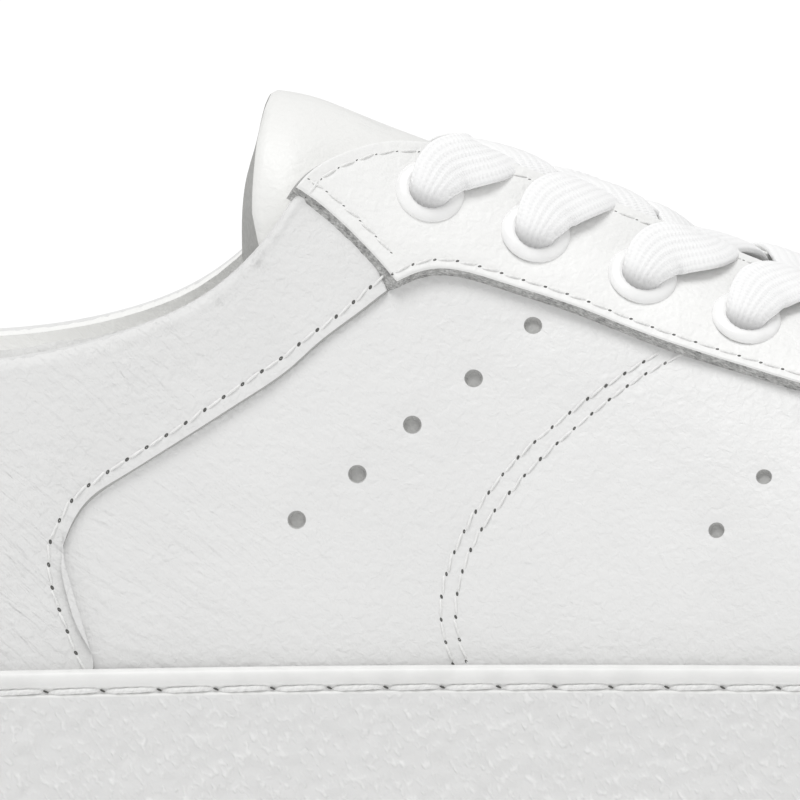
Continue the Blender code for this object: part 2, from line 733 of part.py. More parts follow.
def turned(profile, centre, axis, sides, wrap):
    """Points and faces of a profile of (radius, rise) turned about an axis."""
    axis = Vector(axis).normalized()
    turn = axis.to_track_quat("Z", "Y").to_matrix()
    points = []
    for radius, rise in profile:
        for i in range(sides):
            angle = 2 * math.pi * i / sides
            local = Vector((radius * math.cos(angle), radius * math.sin(angle), rise))
            points.append(Vector(centre) + turn @ local)
    faces = ring_faces(len(profile), sides, wrap)
    if not wrap:
        faces.append(tuple(range(sides)))
        faces.append(tuple(range((len(profile) - 1) * sides, len(profile) * sides)))
    return [tuple(point) for point in points], faces


def eyelet_cutter(leather):
    """The punched holes of the eyestay and the upper, as one guide object."""
    points, faces = [], []
    for centre, axis in eyelet_frames().values():
        profile = ((EYELET_HOLE_RADIUS, -EYELET_HOLE_DEPTH), (EYELET_HOLE_RADIUS, EYELET_HOLE_ABOVE))
        ring, sides = turned(profile, centre, axis, EYELET_SIDES, False)
        faces += [tuple(len(points) + i for i in side) for side in sides]
        points += ring
    return new_object("guide_eyelets", points, faces, leather)


def make_eyelets(lacquer):
    names = {"outer": "lateral", "inner": "medial"}
    low = FIT_GAP
    profile = (
        (EYELET_BORE, -EYESTAY_THICKNESS - WALL),
        (EYELET_BORE, low + EYELET_CURL),
        (EYELET_BORE + EYELET_CURL, low + 2 * EYELET_CURL),
        (EYELET_RADIUS - 0.8 * EYELET_CURL, low + 1.6 * EYELET_CURL),
        (EYELET_RADIUS, low),
        (EYELET_BARREL, low),
        (EYELET_BARREL, -EYESTAY_THICKNESS - WALL),
    )
    for (side, number), (centre, axis) in eyelet_frames().items():
        points, faces = turned(profile, centre, axis, EYELET_SIDES, True)
        new_object("eyelet_%s_%d" % (names[side], number), points, faces, lacquer)


def crest_height(s):
    rows = [(TONGUE_END[-1][0], TONGUE_END[-1][2])] + [row[2:] for row in TONGUE_ROWS]
    return float(np.interp(s, [row[0] for row in rows], [row[1] for row in rows]))


def over_edge(s, side, height, lift):
    """A point that far above the eyestay, near the throat's edge at that s."""
    turns = np.linspace(*turn_at(THROAT_FEET), THROAT_SAMPLES)
    reach = upper_point(turns, height)[:, 0]
    turn = float(np.interp(s, reach, turns))
    if side == "inner":
        turn = 2 * math.pi - turn
    return upper_offset(turn, height, OVERLAY_GAP + EYESTAY_THICKNESS + lift)


def band(points, width_along):
    """A flat ribbon swept along a smooth curve: points and faces."""
    path = through(points, LACE_STEPS)
    tangent = np.gradient(path, axis=0)
    tangent /= np.linalg.norm(tangent, axis=1, keepdims=True)
    normal = np.cross(tangent, np.asarray(width_along, float))
    normal /= np.linalg.norm(normal, axis=1, keepdims=True)
    normal *= np.sign(normal[:, 2:3])
    wide = np.cross(normal, tangent)
    ring = []
    for across, rise in LACE_SECTION:
        ring.append(path + wide * across * LACE_WIDTH / 2 + normal * rise * LACE_THICKNESS / 2)
    sides = len(LACE_SECTION)
    corners = np.stack(ring, axis=1).reshape(-1, 3)
    faces = ring_faces(LACE_STEPS, sides)
    faces += [tuple(range(sides)), tuple(range(len(corners) - sides, len(corners)))]
    return corners, faces


def strand(s_start, side, s_end, y_end):
    """Centre line of one strand, from over the eyestay across the tongue."""
    lift = LACE_CLEARANCE + LACE_THICKNESS / 2
    first = over_edge(s_start, side, LACE_START_HEIGHT, lift)
    s_edge = s_start + LACE_EDGE_FORWARD
    second = over_edge(s_edge, side, 1.0, lift + LACE_EDGE_LIFT)
    sign = -1 if side == "outer" else 1
    middle = []
    for share in (0.5, 1.0):
        s = s_edge + (s_end - s_edge) * share
        y = second[1] + (y_end * -sign - second[1]) * share
        middle.append((s, y, crest_height(s) + lift + LACE_CREST_LIFT))
    return [first, second] + middle


def make_laces(cotton):
    rows = [row[0] for row in EYELET_ROWS]
    for number, s in enumerate(rows[:-1], start=1):
        start = s + LACE_ADVANCE * LACE_FROM_EYELET
        end = s + LACE_ADVANCE * (LACE_TO_MIDDLE + LACE_END_Y)
        pair = []
        for side in ("outer", "inner"):
            points, faces = band(strand(start, side, end, LACE_END_Y), THROAT_SLOPE)
            name = "lace_cross_%d" % number if side == "outer" else "guide_lace_%d" % number
            pair.append(new_object(name, points, faces, cotton))
        boolean(pair[0], pair[1], "UNION")
    lift = LACE_CLEARANCE + LACE_THICKNESS / 2
    s = rows[-1] + LACE_BAR_FORWARD
    across = [
        over_edge(s, "outer", LACE_START_HEIGHT, lift),
        over_edge(s, "outer", 1.0, lift + LACE_EDGE_LIFT),
        (s, throat_centre(s), crest_height(s) + lift + LACE_CREST_LIFT),
        over_edge(s, "inner", 1.0, lift + LACE_EDGE_LIFT),
        over_edge(s, "inner", LACE_START_HEIGHT, lift),
    ]
    points, faces = band(across, THROAT_SLOPE)
    new_object("lace_bar", points, faces, cotton)


# ---------------------------------------------------------------- the shoe
def main():
    for thing in list(bpy.data.objects):
        bpy.data.objects.remove(thing, do_unlink=True)
    rubber = material("rubber", (0.80, 0.80, 0.79), 0.55)
    white_leather = material("white_leather", (0.86, 0.86, 0.85), 0.42)
    cloth = material("footbed_cloth", (0.74, 0.74, 0.72), 0.9)
    lacquer = material("white_lacquer", (0.88, 0.88, 0.87), 0.25)
    cotton = material("lace_cotton", (0.88, 0.88, 0.87), 0.8)
    make_cupsole(rubber)
    make_insole(cloth)
    make_upper(white_leather)
    make_heel_panel(white_leather)
    make_eyestay(white_leather)
    make_tongue(white_leather)
    make_eyelets(lacquer)
    make_laces(cotton)


if __name__ == "__main__":
    main()
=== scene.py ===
"""Looks of the low white lace-up sneaker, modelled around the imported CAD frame.

The shoe is worked out in design millimetres, as the part is: s runs from the back of the heel (0)
to the toe tip, y is positive towards the inner (medial) side and z is up from the floor. place()
turns that into the frame's metres. The leather's outer face is one function of two numbers: turn,
the way round the shoe, and height, 0 where the upper meets the sole and 1 at the topline. Panels,
edges, stitches, holes and creases are all laid out on that face.
"""

import functools
import math

import bmesh
import bpy
import numpy as np
from mathutils import Matrix, Vector
from mathutils import noise as mathutils_noise
from mathutils.bvhtree import BVHTree

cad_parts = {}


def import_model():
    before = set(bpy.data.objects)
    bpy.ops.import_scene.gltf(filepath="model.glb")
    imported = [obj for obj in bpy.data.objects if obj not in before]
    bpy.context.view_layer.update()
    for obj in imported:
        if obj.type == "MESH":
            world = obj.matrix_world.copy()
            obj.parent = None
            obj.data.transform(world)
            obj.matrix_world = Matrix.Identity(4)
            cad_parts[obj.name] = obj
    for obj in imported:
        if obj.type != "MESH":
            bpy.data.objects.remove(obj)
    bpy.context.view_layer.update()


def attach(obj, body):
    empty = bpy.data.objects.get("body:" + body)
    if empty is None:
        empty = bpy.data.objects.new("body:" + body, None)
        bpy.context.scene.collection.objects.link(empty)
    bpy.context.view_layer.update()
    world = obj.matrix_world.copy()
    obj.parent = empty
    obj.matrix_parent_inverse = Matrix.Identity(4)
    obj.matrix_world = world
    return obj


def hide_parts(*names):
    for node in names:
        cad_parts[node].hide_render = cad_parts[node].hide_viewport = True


MM = 0.001

# ---------------------------------------------------------------- sizes shared with the part, mm
SHOE_LENGTH = 286.0
HEEL_RADIUS = 33.0
TOE_RADIUS = 32.0
SIDEWALL_HEIGHT = 24.0
LIP_THICKNESS = 3.0
FIT_GAP = 0.3
CUP_GAP = 0.6
TREAD_THICKNESS = 6.0
FEATHER_Z = TREAD_THICKNESS + FIT_GAP  # the line where the upper starts
PLAN_PULL = 8.0  # weight of the plan normal in the direction that a wall leaves the topline
INSOLE_THICKNESS = 3.2
TOE_SPRING = 4.0
TOE_SPRING_START = 222.0
HEEL_LIFT = 1.2
HEEL_LIFT_END = 14.0
WALL = 1.9  # leather and lining
INSOLE_INSET = LIP_THICKNESS + FIT_GAP + WALL + 0.6  # 0.6 clear of the wall
COLLAR_PADDING = 1.9
COLLAR_PADDING_END = 104.0  # s on the topline
COLLAR_PADDING_FADE = 12.0
COLLAR_PADDING_RISE = (0.6, 0.9)  # heights on the upper over which it comes in
TONGUE_DEPTH = 2.7
TONGUE_TIP_THICKNESS = 4.6
TONGUE_THICKNESS = 2.6
# The tread's chevrons: where they lie, s from and to, their pitch and size, and the plain rim round them.
TREAD_ZONES = ((24.0, 100.0), (150.0, 262.0))
TREAD_PITCH = 9.5
POCKET_LENGTH = 4.0
POCKET_DEPTH = 1.6
CHEVRON = 5.0
TREAD_RIM = 9.0

# Plan of the sole: the middle of each section and half its width.
OUTLINE_COLUMNS = ("s", "centre", "half_width")
OUTLINE_ROWS = (
    (16, -0.2, 27.6),
    (30, -0.5, 33.6),
    (50, -0.7, 35.9),
    (75, -1.2, 35.0),
    (100, -2.4, 33.8),
    (125, -3.6, 34.6),
    (150, -4.0, 38.6),
    (175, -3.2, 45.2),
    (195, -1.6, 50.2),
    (212, -0.2, 52.2),
    (228, 1.2, 51.6),
    (243, 2.6, 48.2),
    (257, 4.0, 42.2),
    (269, 5.4, 33.6),
    (278, 6.6, 23.0),
)
LOCATE_ROUNDS = 24
LOCATE_TURN = 0.08  # the most that turn and height change in one round,
LOCATE_HEIGHT = 0.15
LOCATE_TOP = 1.05  # and the greatest height
AXIS_AT_HEEL = 0.0
AXIS_AT_TOE = 8.0

# Stations of the upper. Each joins a point of the feather line (s_foot) to one of the topline.
# rise and flare lean the wall at its foot; spread and drop aim it where it ends at the topline.
STATION_COLUMNS = (
    "s_foot", "s_top", "y_outer", "y_inner", "z_outer", "z_inner", "rise", "flare", "spread", "drop"
)
STATION_ROWS = (
    (0, 9.6, 0.0, 0.0, 76.0, 76.0, 25.0, 1.6, 3.4, 20.0),
    (9, 13.0, -14.5, 14.5, 75.0, 75.0, 25.0, 1.5, 3.2, 20.0),
    (24, 25.0, -23.6, 23.6, 70.4, 70.4, 24.0, 1.2, 3.0, 18.0),
    (45, 44.0, -27.4, 27.6, 65.0, 65.2, 23.0, 1.0, 3.2, 17.0),
    (70, 68.0, -28.0, 27.8, 62.6, 63.0, 22.0, 0.8, 3.6, 17.0),
    (90, 88.5, -26.4, 26.2, 67.0, 66.6, 24.0, 0.6, 4.2, 18.0),
    (101, 98.8, -24.8, 24.6, 72.6, 72.2, 27.0, 0.6, 4.8, 20.0),
    (108, 105.0, -23.0, 22.8, 79.2, 78.5, 30.0, 0.6, 5.6, 21.0),
    (113, 108.2, -20.8, 20.6, 83.7, 82.8, 31.0, 0.6, 7.5, 20.5),
    (119, 112.8, -17.4, 17.4, 86.5, 85.3, 31.0, 0.6, 10.5, 19.0),
    (128, 120.6, -13.6, 13.8, 87.7, 86.1, 31.0, 0.6, 13.0, 17.0),
    (140, 133.0, -12.2, 12.4, 84.8, 83.2, 30.0, 0.5, 14.5, 16.0),
    (156, 148.0, -12.0, 12.2, 78.7, 78.0, 28.0, 0.5, 17.0, 15.0),
    (175, 163.0, -11.6, 12.0, 72.2, 72.3, 26.0, 0.5, 21.0, 13.0),
    (195, 177.0, -11.2, 11.8, 66.2, 66.2, 25.5, 0.4, 27.0, 10.5),
    (216, 188.5, -10.2, 11.0, 61.4, 61.4, 28.0, 0.4, 33.0, 9.8),
    (240, 196.0, -7.6, 8.8, 58.6, 58.6, 31.5, 0.5, 41.0, 9.2),
    (265, 199.4, -3.4, 5.4, 57.4, 57.4, 34.5, 0.7, 49.0, 8.8),
    (286, 200.2, 1.2, 1.2, 57.1, 57.1, 36.0, 0.9, 52.0, 8.6),
)

# Centre of each eyelet, seen from the side. The inner topline is lower, and so are its first eyelets.
EYELET_COLUMNS = ("s", "z_outer", "z_inner")
EYELET_ROWS = (
    (123.85, 81.5, 80.3),
    (137.15, 76.1, 75.2),
    (150.5, 70.4, 70.1),
    (163.5, 64.9, 64.9),
    (176.6, 60.4, 60.4),
    (189.5, 56.9, 56.9),
)

# Lower edge of the eyestay: seen from the side, then seen from above round the front of the throat.
EYESTAY_LOWER = (
    (119.1, 71.7),
    (124.8, 73.2),
    (132.8, 71.4),
    (142.8, 67.9),
    (152.8, 63.8),
    (162.8, 60.4),
    (172.0, 57.5),
    (181.0, 55.2),
    (190.0, 53.4),
)
EYESTAY_FRONT = ((202.5, -24.1), (211.6, -13.4), (215.0, 1.1), (211.6, 15.6), (202.5, 26.3))
EYESTAY_CORNER = (1.345, 1.0)  # turn and height of its back corner on the topline

# Front edge of the heel panel, seen from the side, from the eyestay down into the cup.
PANEL_EDGE = (
    (118.6, 70.2),
    (114.4, 67.2),
    (107.5, 61.9),
    (100.0, 56.8),
    (92.6, 52.3),
    (84.6, 47.6),
    (80.8, 45.1),
    (78.3, 41.5),
    (77.2, 37.6),
    (77.8, 33.4),
    (79.2, 29.0),
    (81.0, 25.0),
)

# Tongue: a section for each row, under the throat's edges; edge is the height of the upper there.
TONGUE_COLUMNS = ("s_foot", "edge", "s_crest", "z_crest")
TONGUE_ROWS = (
    (112, 1.0, 109.2, 93.9),
    (118, 1.0, 114.0, 92.1),
    (127, 1.0, 121.0, 89.2),
    (140, 1.0, 133.0, 84.4),
    (156, 1.0, 148.0, 78.4),
    (175, 1.0, 163.0, 71.9),
    (195, 1.0, 177.0, 65.4),
    (214, 0.98, 188.0, 60.0),
    (232, 0.93, 197.0, 55.7),
    (246, 0.86, 205.0, 51.8),
)
# The tongue's free end: (s, y, z) of half its section, from the edge inside the collar to the crest.
TONGUE_END = (
    (100.4, 19.6, 66.0),
    (100.3, 19.4, 74.0),
    (100.4, 18.2, 80.5),
    (101.0, 15.4, 86.3),
    (102.3, 10.4, 91.4),
    (103.7, 4.8, 94.2),
    (104.2, 0.0, 94.8),
)

# ---------------------------------------------------------------- the leather pieces, mm
LEATHER_TONE = (0.785, 0.785, 0.78)
# The heel panel's leather is painted darker than the quarters' as shade on that side of the shoe.
HEEL_SHADED_TONE = (0.765, 0.765, 0.76)
EYESTAY_TONE = (0.855, 0.855, 0.845)
TONGUE_TONE = (0.84, 0.84, 0.825)
SOLE_TONE = (0.755, 0.755, 0.75)
SHARP = 40.0  # degrees between faces from which an edge stays sharp: most pieces,
SHEET_SHARP = 50.0  # heel panel and tongue,
EYESTAY_SHARP = 45.0
EYELET_SHARP = 60.0
LEATHER_THICKNESS = 1.1
LEATHER_FOOT = 16.5  # how low the leather reaches inside the cup
UPPER_COLUMNS = 640
UPPER_ROWS = 84
UPPER_BACK_ROWS = 10
LINING_COLUMNS = 320
LINING_ROWS = 46
LINING_FOOT = LEATHER_FOOT - 4
LINING_SHORT = 0.06  # how much thinner than the CAD wall it and the leather are
LINING_GAP = 0.05  # between the two
EDGE_STEPS = (0.0, 0.1, 0.25, 0.45, 0.7, 1.0)  # distances from a rounded edge that get points
PANEL_FACE = 0.75  # over the quarter's face
PANEL_THICKNESS = 0.65
PANEL_EDGE_RADIUS = 0.55
PANEL_FOOT = LEATHER_FOOT + 1
PANEL_UNDER_EYESTAY = 0.055  # turn
PANEL_HALF_RUN = 125.0  # half its length round the heel, about, for the size of its cells,
PANEL_HEIGHT = 40.0  # and its height
PANEL_CELL = 0.62
PANEL_CENTRE = (60.0, 0.0, 40.0)  # a point inside the shoe behind the panel,
PANEL_ROW = 10  # and one of its rows, to tell the way out
PANEL_ROWS = 88
ROLL_DROP = 2.6  # how far under the topline the collar starts to roll over
ROLL_ROWS = 16
ROLL_RISE = -0.1  # of its crest over the topline
ROLL_GAP = 0.15  # between the lining and the roll's inner foot,
ROLL_INSIDE_GAP = 0.12  # and between the lining and the rows below that
ROLL_FULLNESS = 0.85
TOP_STRIP = 0.02  # share of the upper's height over which its slope at the topline is measured
PANEL_LEAN = 0.2  # how far the cut edge's foot lies beyond the face
PANEL_BEND = (79.0, 43.0)  # where that edge shows more, (s, z)
PANEL_BEND_REACH = 6.0
PANEL_BEND_LEAN = 0.45
# How far under its start the roll's rows inside the shoe lie.
ROLL_INSIDE = (1.0, 2.2, 3.6, 5.2, 7.0, 9.0, 11.5, 14.0)
CORNER_LIFT = 0.014  # height that the eyestay's back corners stand over the topline,
CORNER_LIFT_REACH = 0.05  # and over how much turn
EYESTAY_FACE = 1.9  # over the quarter's face
EYESTAY_RUN = 262.0  # its length round the throat, about, for the size of its cells,
EYESTAY_WIDTH = 18.0  # and its width
EYESTAY_CELL = 0.62
EYESTAY_EDGE_RADIUS = 0.3
EDGE_DROP = 1.05  # how far the face reaches below its outline
EDGE_LEAN = 0.38  # how far the cut edge's foot lies beyond the face: at the lower edge,
EDGE_LEAN_BACK = 1.35  # at the back edges,
EDGE_LEAN_THROAT = 0.15  # and at the throat
EDGE_CORNER_SHARE = 0.3  # of the first and last of these that is left at the back edges
EDGE_LAYERS = (0.12, 0.35, 0.6, 0.85)  # shares of the edge's depth that get points
EDGE_ROUGH = (0.06, 1.3, 40)  # unevenness across the cut edge, with another seed for each layer,
EDGE_RAGGED = ((0.07, 1.7, 35),)  # and along it
EDGE_UNDER = 0.1  # how far the eyestay's back lies under the quarter's face
SEAM_INSET = 1.6
BACK_SEAM_INSET = 1.7
LOWER_SEAM_INSET = 0.05  # from the outline, whose face reaches EDGE_DROP further

# Vent holes of the quarters, (s, z) from the side, the same on both sides.
VENT_ROWS = (
    ((136.9, 65.7), (129.3, 59.3), (121.5, 53.7), (114.5, 47.7), (106.8, 42.1)),
    ((171.6, 53.4), (165.4, 46.9), (159.3, 40.4)),
)
VENT_RADII = (1.15, 1.0)
VENT_SIDES = 24
VENT_PROFILE = ((0.8, 0.0, -0.95), (1.0, 0.0, -0.35), (1.0, 0.1, 0.6))  # share of radius, more, rise

# Two parallel stitch rows down each quarter.
DOUBLE_SEAM = (
    ((126.1, 23.9), (124.8, 28.8), (124.7, 31.4), (125.8, 36.1), (128.0, 40.8), (131.1, 45.4),
     (134.6, 49.4), (138.8, 53.0), (143.4, 56.5), (147.9, 59.4), (152.4, 61.9)),
    ((127.8, 24.2), (126.6, 28.9), (126.6, 31.4), (127.7, 36.1), (130.0, 40.7), (133.4, 45.0),
     (137.3, 49.1), (141.7, 52.9), (146.2, 56.4), (150.7, 59.4), (154.9, 61.5)),
)
# Stitch row along the heel panel's front edge.
PANEL_SEAM = (
    (118.6, 72.1), (115.6, 69.9), (111.7, 66.8), (106.7, 63.2), (101.6, 59.8), (96.5, 56.5),
    (91.8, 53.5), (86.5, 50.4), (81.4, 47.2), (78.8, 45.1), (77.0, 42.4), (75.8, 39.6), (75.6, 37.6),
    (75.8, 35.2), (76.3, 33.0), (77.1, 30.7), (77.9, 28.4), (79.0, 25.6), (80.0, 23.6),
)

# Where the leather's fine wrinkles are strong: (s, y, z), reach, strength; y is used on both sides.
QUARTER_ZONES = (
    ((90.0, 35.0, 41.0), 22.0, 0.75), ((112.0, 33.0, 52.0), 22.0, 0.25),
    ((160.0, 30.0, 40.0), 30.0, 0.1), ((235.0, 25.0, 40.0), 34.0, 0.5),
)
HEEL_ZONES = (
    ((66.0, 35.0, 38.0), 24.0, 1.5), ((40.0, 33.0, 48.0), 26.0, 1.1), ((5.0, 0.0, 50.0), 24.0, 0.9),
    ((84.0, 30.0, 58.0), 16.0, 0.6), ((92.0, 25.0, 67.0), 13.0, 0.5), ((80.0, 27.0, 62.0), 12.0, 0.3),
)
EYESTAY_ZONES = (((160.0, 20.0, 64.0), 16.0, 0.5), ((120.0, 20.0, 80.0), 12.0, 0.3))
TONGUE_ZONES = (((114.0, 3.0, 92.0), 7.0, 0.8), ((117.0, 10.0, 90.0), 8.0, 0.6))

# Creases: (height, half width, points), seen from the side; negative heights are troughs.
QUARTER_CREASES = (
    (-0.07, 0.42, ((83.0, 44.3), (85.6, 42.5), (88.6, 41.2))),
    (-0.07, 0.42, ((86.2, 45.0), (88.8, 43.2), (91.8, 41.9))),
    (-0.08, 0.45, ((90.5, 40.1), (93.8, 38.9), (96.8, 37.6))),
    (-0.07, 0.42, ((91.8, 38.2), (94.9, 36.9), (97.0, 35.7))),
    (-0.06, 0.45, ((85.0, 40.1), (89.4, 38.2))),
    (-0.06, 0.45, ((78.2, 40.1), (82.0, 37.6))),
    (-0.06, 0.45, ((79.4, 37.6), (83.8, 33.9))),
    (-0.05, 0.45, ((88.0, 46.5), (93.0, 44.0), (98.0, 42.6))),
    (-0.05, 0.45, ((98.0, 45.0), (103.0, 43.0), (107.0, 40.5))),
    (-0.05, 0.40, ((101.0, 50.5), (105.0, 48.8), (109.0, 47.8))),
    (-0.05, 0.40, ((112.0, 57.5), (116.5, 55.5), (121.0, 54.9))),
    (0.10, 1.6, ((84.0, 47.0), (92.0, 42.0), (99.0, 38.5))),
    (-0.10, 2.2, ((92.0, 47.0), (100.0, 42.0), (108.0, 38.0))),
)
HEEL_CREASES = (
    (-0.10, 0.40, ((70.0, 54.0), (72.5, 52.3), (75.6, 50.3), (77.8, 48.2))),
    (-0.09, 0.38, ((72.5, 52.9), (74.4, 51.5), (77.5, 51.1), (80.0, 49.3))),
    (-0.11, 0.40, ((69.0, 53.2), (71.9, 50.5), (73.8, 48.6), (77.5, 45.5))),
    (-0.09, 0.38, ((73.8, 49.3), (76.2, 48.0), (78.8, 45.9))),
    (-0.10, 0.40, ((68.5, 51.5), (72.5, 48.0), (75.0, 46.1))),
    (-0.09, 0.38, ((69.0, 49.2), (73.1, 44.2), (75.6, 41.8))),
    (-0.10, 0.42, ((72.5, 41.1), (74.0, 39.3), (75.4, 36.2))),
    (-0.08, 0.38, ((68.5, 41.5), (72.5, 38.0))),
    (-0.09, 0.40, ((68.0, 34.0), (73.8, 28.0), (76.0, 25.8))),
    (-0.09, 0.40, ((68.0, 30.5), (72.0, 26.6))),
    (-0.08, 0.40, ((66.0, 38.5), (70.5, 34.0), (73.0, 31.6))),
    (-0.09, 0.40, ((64.0, 52.0), (68.0, 48.5), (71.0, 45.0))),
    (-0.09, 0.40, ((61.0, 49.5), (66.0, 44.5), (69.5, 41.0))),
    (-0.08, 0.40, ((58.0, 45.5), (63.0, 40.5), (67.5, 35.5))),
    (-0.08, 0.45, ((54.0, 50.0), (58.5, 45.0), (62.0, 41.5))),
    (-0.08, 0.45, ((50.0, 44.0), (55.0, 39.0), (59.0, 33.5))),
    (-0.10, 0.50, ((30.0, 52.0), (36.0, 47.5), (42.0, 45.0))),
    (-0.09, 0.50, ((26.0, 46.0), (32.0, 41.0), (39.0, 38.0))),
    (-0.08, 0.50, ((18.0, 56.0), (24.0, 52.5), (31.0, 50.5))),
    (-0.06, 0.40, ((84.0, 53.5), (87.5, 51.8), (90.0, 51.6))),
    (-0.05, 0.40, ((86.0, 57.5), (89.5, 55.5), (92.0, 54.6))),
    (-0.05, 0.40, ((92.0, 60.8), (95.5, 59.0))),
    (0.12, 2.0, ((66.0, 56.0), (74.0, 50.0), (77.0, 42.0))),
    (-0.14, 2.4, ((60.0, 48.0), (68.0, 40.0), (74.0, 30.0))),
)
COLLAR_RIM = ((69.8, 62.2), (79.9, 63.4), (90.0, 67.2), (97.0, 71.4), (101.5, 75.4), (105.0, 79.6))
PINCH_SEED = 21
PINCH_STEP = (0.7, 1.5)
PINCH_LENGTH = (1.5, 4.2)
PINCH_DEPTH = (0.12, 0.3)
PINCH_WIDTH = (0.22, 0.4)
PINCH_LEAN = (-0.25, 0.75)
PINCH_BEND = 0.25
PINCH_OVER = 0.8  # how far they start over the rim's line
PINCH_SHORTER = (84.0, 0.55)  # behind that s they are only that share as long

# ---------------------------------------------------------------- stitches, eyelets and laces, mm
STITCH_PITCH = 2.9
STITCH_LENGTH = 2.55
STITCH_RADIUS = 0.17
STITCH_STEPS = 10  # points along a seam for each stitch
STITCH_SWING = 6.0  # degrees between a stitch and its seam,
STITCH_SWAY = 6.0  # and how much that varies
HOLE_SWING = 20.0
DROP_REACH = 4.0  # how far over and under a face a stitch looks for the finished surface
DENT_STEP = 0.6
# Needle holes are dark dishes of painted shade, one at each stitch hole.
NEEDLE_HOLES = {  # length and width
    "heel_panel": (0.7, 0.44),
    "quarter": (0.62, 0.36),
    "eyestay_lower": (0.52, 0.3),
    "eyestay_throat": (0.4, 0.16),
    "sole": (0.75, 0.28),
}
# How far a stitch row draws the leather in, and how far that reaches.
PANEL_DENT = (0.15, 0.7)
QUARTER_DENT = (0.16, 0.75)
EYESTAY_DENT = (0.13, 0.6)
VENT_DENT = (0.22, 1.9)
EYELET_DENT = (0.25, 5.2)
WAVE_COUNT = 7
WAVE_SPREAD = (0.6, 1.4)  # shares of their size
WAVE_GAIN = 1.6  # brings their mean to about -1 to 1
# Unevenness of the leather: (height, size of its waves, random seed).
QUARTER_WAVES = ((0.10, 26.0, 3), (0.04, 9.0, 4))
LINING_WAVES = ((0.10, 8.0, 6),)
PANEL_WAVES = ((0.10, 22.0, 11), (0.05, 7.0, 12))
EYESTAY_WAVES = ((0.07, 18.0, 31), (0.03, 6.0, 32))
TONGUE_WAVES = ((0.12, 24.0, 80), (0.05, 8.0, 81))
EYELET_HOLE_RADIUS = 3.3
EYELET_HOLE_REACH = (-8.0, 3.5)  # from under the lining to over the eyestay
HOLE_SIDES = 32
EYELET_SIDES = 56
LAST_EYELET = len(EYELET_ROWS)
EYELET_RADIUS = 4.45
EYELET_BORE = 2.35
EYELET_SINK = 0.3  # how far its seat lies in the eyestay
EYELET_PROFILE = (  # radius and rise over its seat
    (EYELET_BORE, -3.2),
    (EYELET_BORE, 0.35),
    (EYELET_BORE + 0.12, 0.66),
    (EYELET_BORE + 0.42, 0.86),
    (EYELET_BORE + 0.85, 0.88),
    (EYELET_RADIUS - 0.7, 0.76),
    (EYELET_RADIUS - 0.3, 0.6),
    (EYELET_RADIUS - 0.08, 0.4),
    (EYELET_RADIUS, 0.2),
    (EYELET_RADIUS - 0.05, 0.0),
    (EYELET_BORE + 0.5, 0.0),
    (EYELET_BORE + 0.5, -3.2),
)
LACE_WIDTH = 7.8
LACE_THICKNESS = 1.5
LACE_RIBS = 7
LACE_RIB = 1.11  # width of one
LACE_RIB_DEPTH = 0.14
LACE_STITCH = 0.5
LACE_SQUEEZE = (4.2, 7.0)  # widths between which a squeezed lace spreads out flat,
LACE_BOW = (1.3, 0.25)  # how far its middle stands up at those widths,
LACE_FATTER = (1.35, 1.0)  # and how many times its thickness it has
LACE_SIDES = 56
LACE_CELL = 0.45
# Painted shade on each lace where it comes up out of its eyelet:
LACE_EYELET_SHADE = (3.2, 5.4)  # mm from its hidden end over which a lace goes from dark to its own colour
LACE_SQUARENESS = (0.8, 0.62)  # exponents, across and up; 1 makes its section an oval
LACE_BAR_AHEAD = 1.0
LACE_BAR_LIFT = 2.4
LACE_BAR_WIDTH = 7.6
LACE_SKYWARD = (0.37, 0.0, 0.93)  # the way a lace faces over the tongue
# A lace leaving its eyelet: rise over the eyestay, climb towards the throat, way along it,
# degrees that its face leans outwards, its width, and its share of LACE_FURTHER.
LACE_LEAVING = (
    (-4.0, -0.9, 0.0, 0.0, 4.3, 0.0),
    (-1.2, -1.1, 0.0, 5.0, 4.5, 0.0),
    (0.8, -0.6, 0.0, 32.0, 5.3, 0.0),
    (1.35, 1.5, 0.2, 60.0, 6.9, 0.3),
    (1.1, 3.8, 0.8, 82.0, 7.9, 0.8),
    (0.55, 6.1, 2.3, 98.0, 8.1, 1.0),
)
LACE_FURTHER = (0.3, 0.5, 0.6, 1.3, 1.2, 1.0)  # how much lower each eyelet is under the throat's edge
# Strands that lie further along (above 1) or leave more steeply (below 1) than the others.
LACE_LEADS = {(1, "outer"): 1.6, (1, "inner"): 1.9, (3, "outer"): 1.8, (3, "inner"): 0.15}
# Then over the tongue: way along from the eyelet, y across, share of the strand's own lift and
# what is added to it, how far its face tips sideways, and its width.
LACE_CROSSING = (
    (9.8, 0.0, 1.0, 0.0, 0.0, 8.0),
    (12.2, 6.0, 1.0, 1.0, 0.15, 8.0),
    (13.8, 10.0, 0.8, 1.3, 0.4, 8.0),
    (15.2, 12.8, 0.5, 0.2, 0.7, 7.8),
    (17.0, 15.8, 0.0, -1.9, 0.7, 7.0),
)
# Each crossing: the outer and inner strand's lift over the tongue, and how much further along the
# inner one lies.
LACE_STRANDS = ((0.8, 1.9, 0.0), (0.8, 2.1, -1.5), (1.2, -2.2, 0.0), (0.7, 2.0, 0.0), (0.7, 2.0, 0.0))

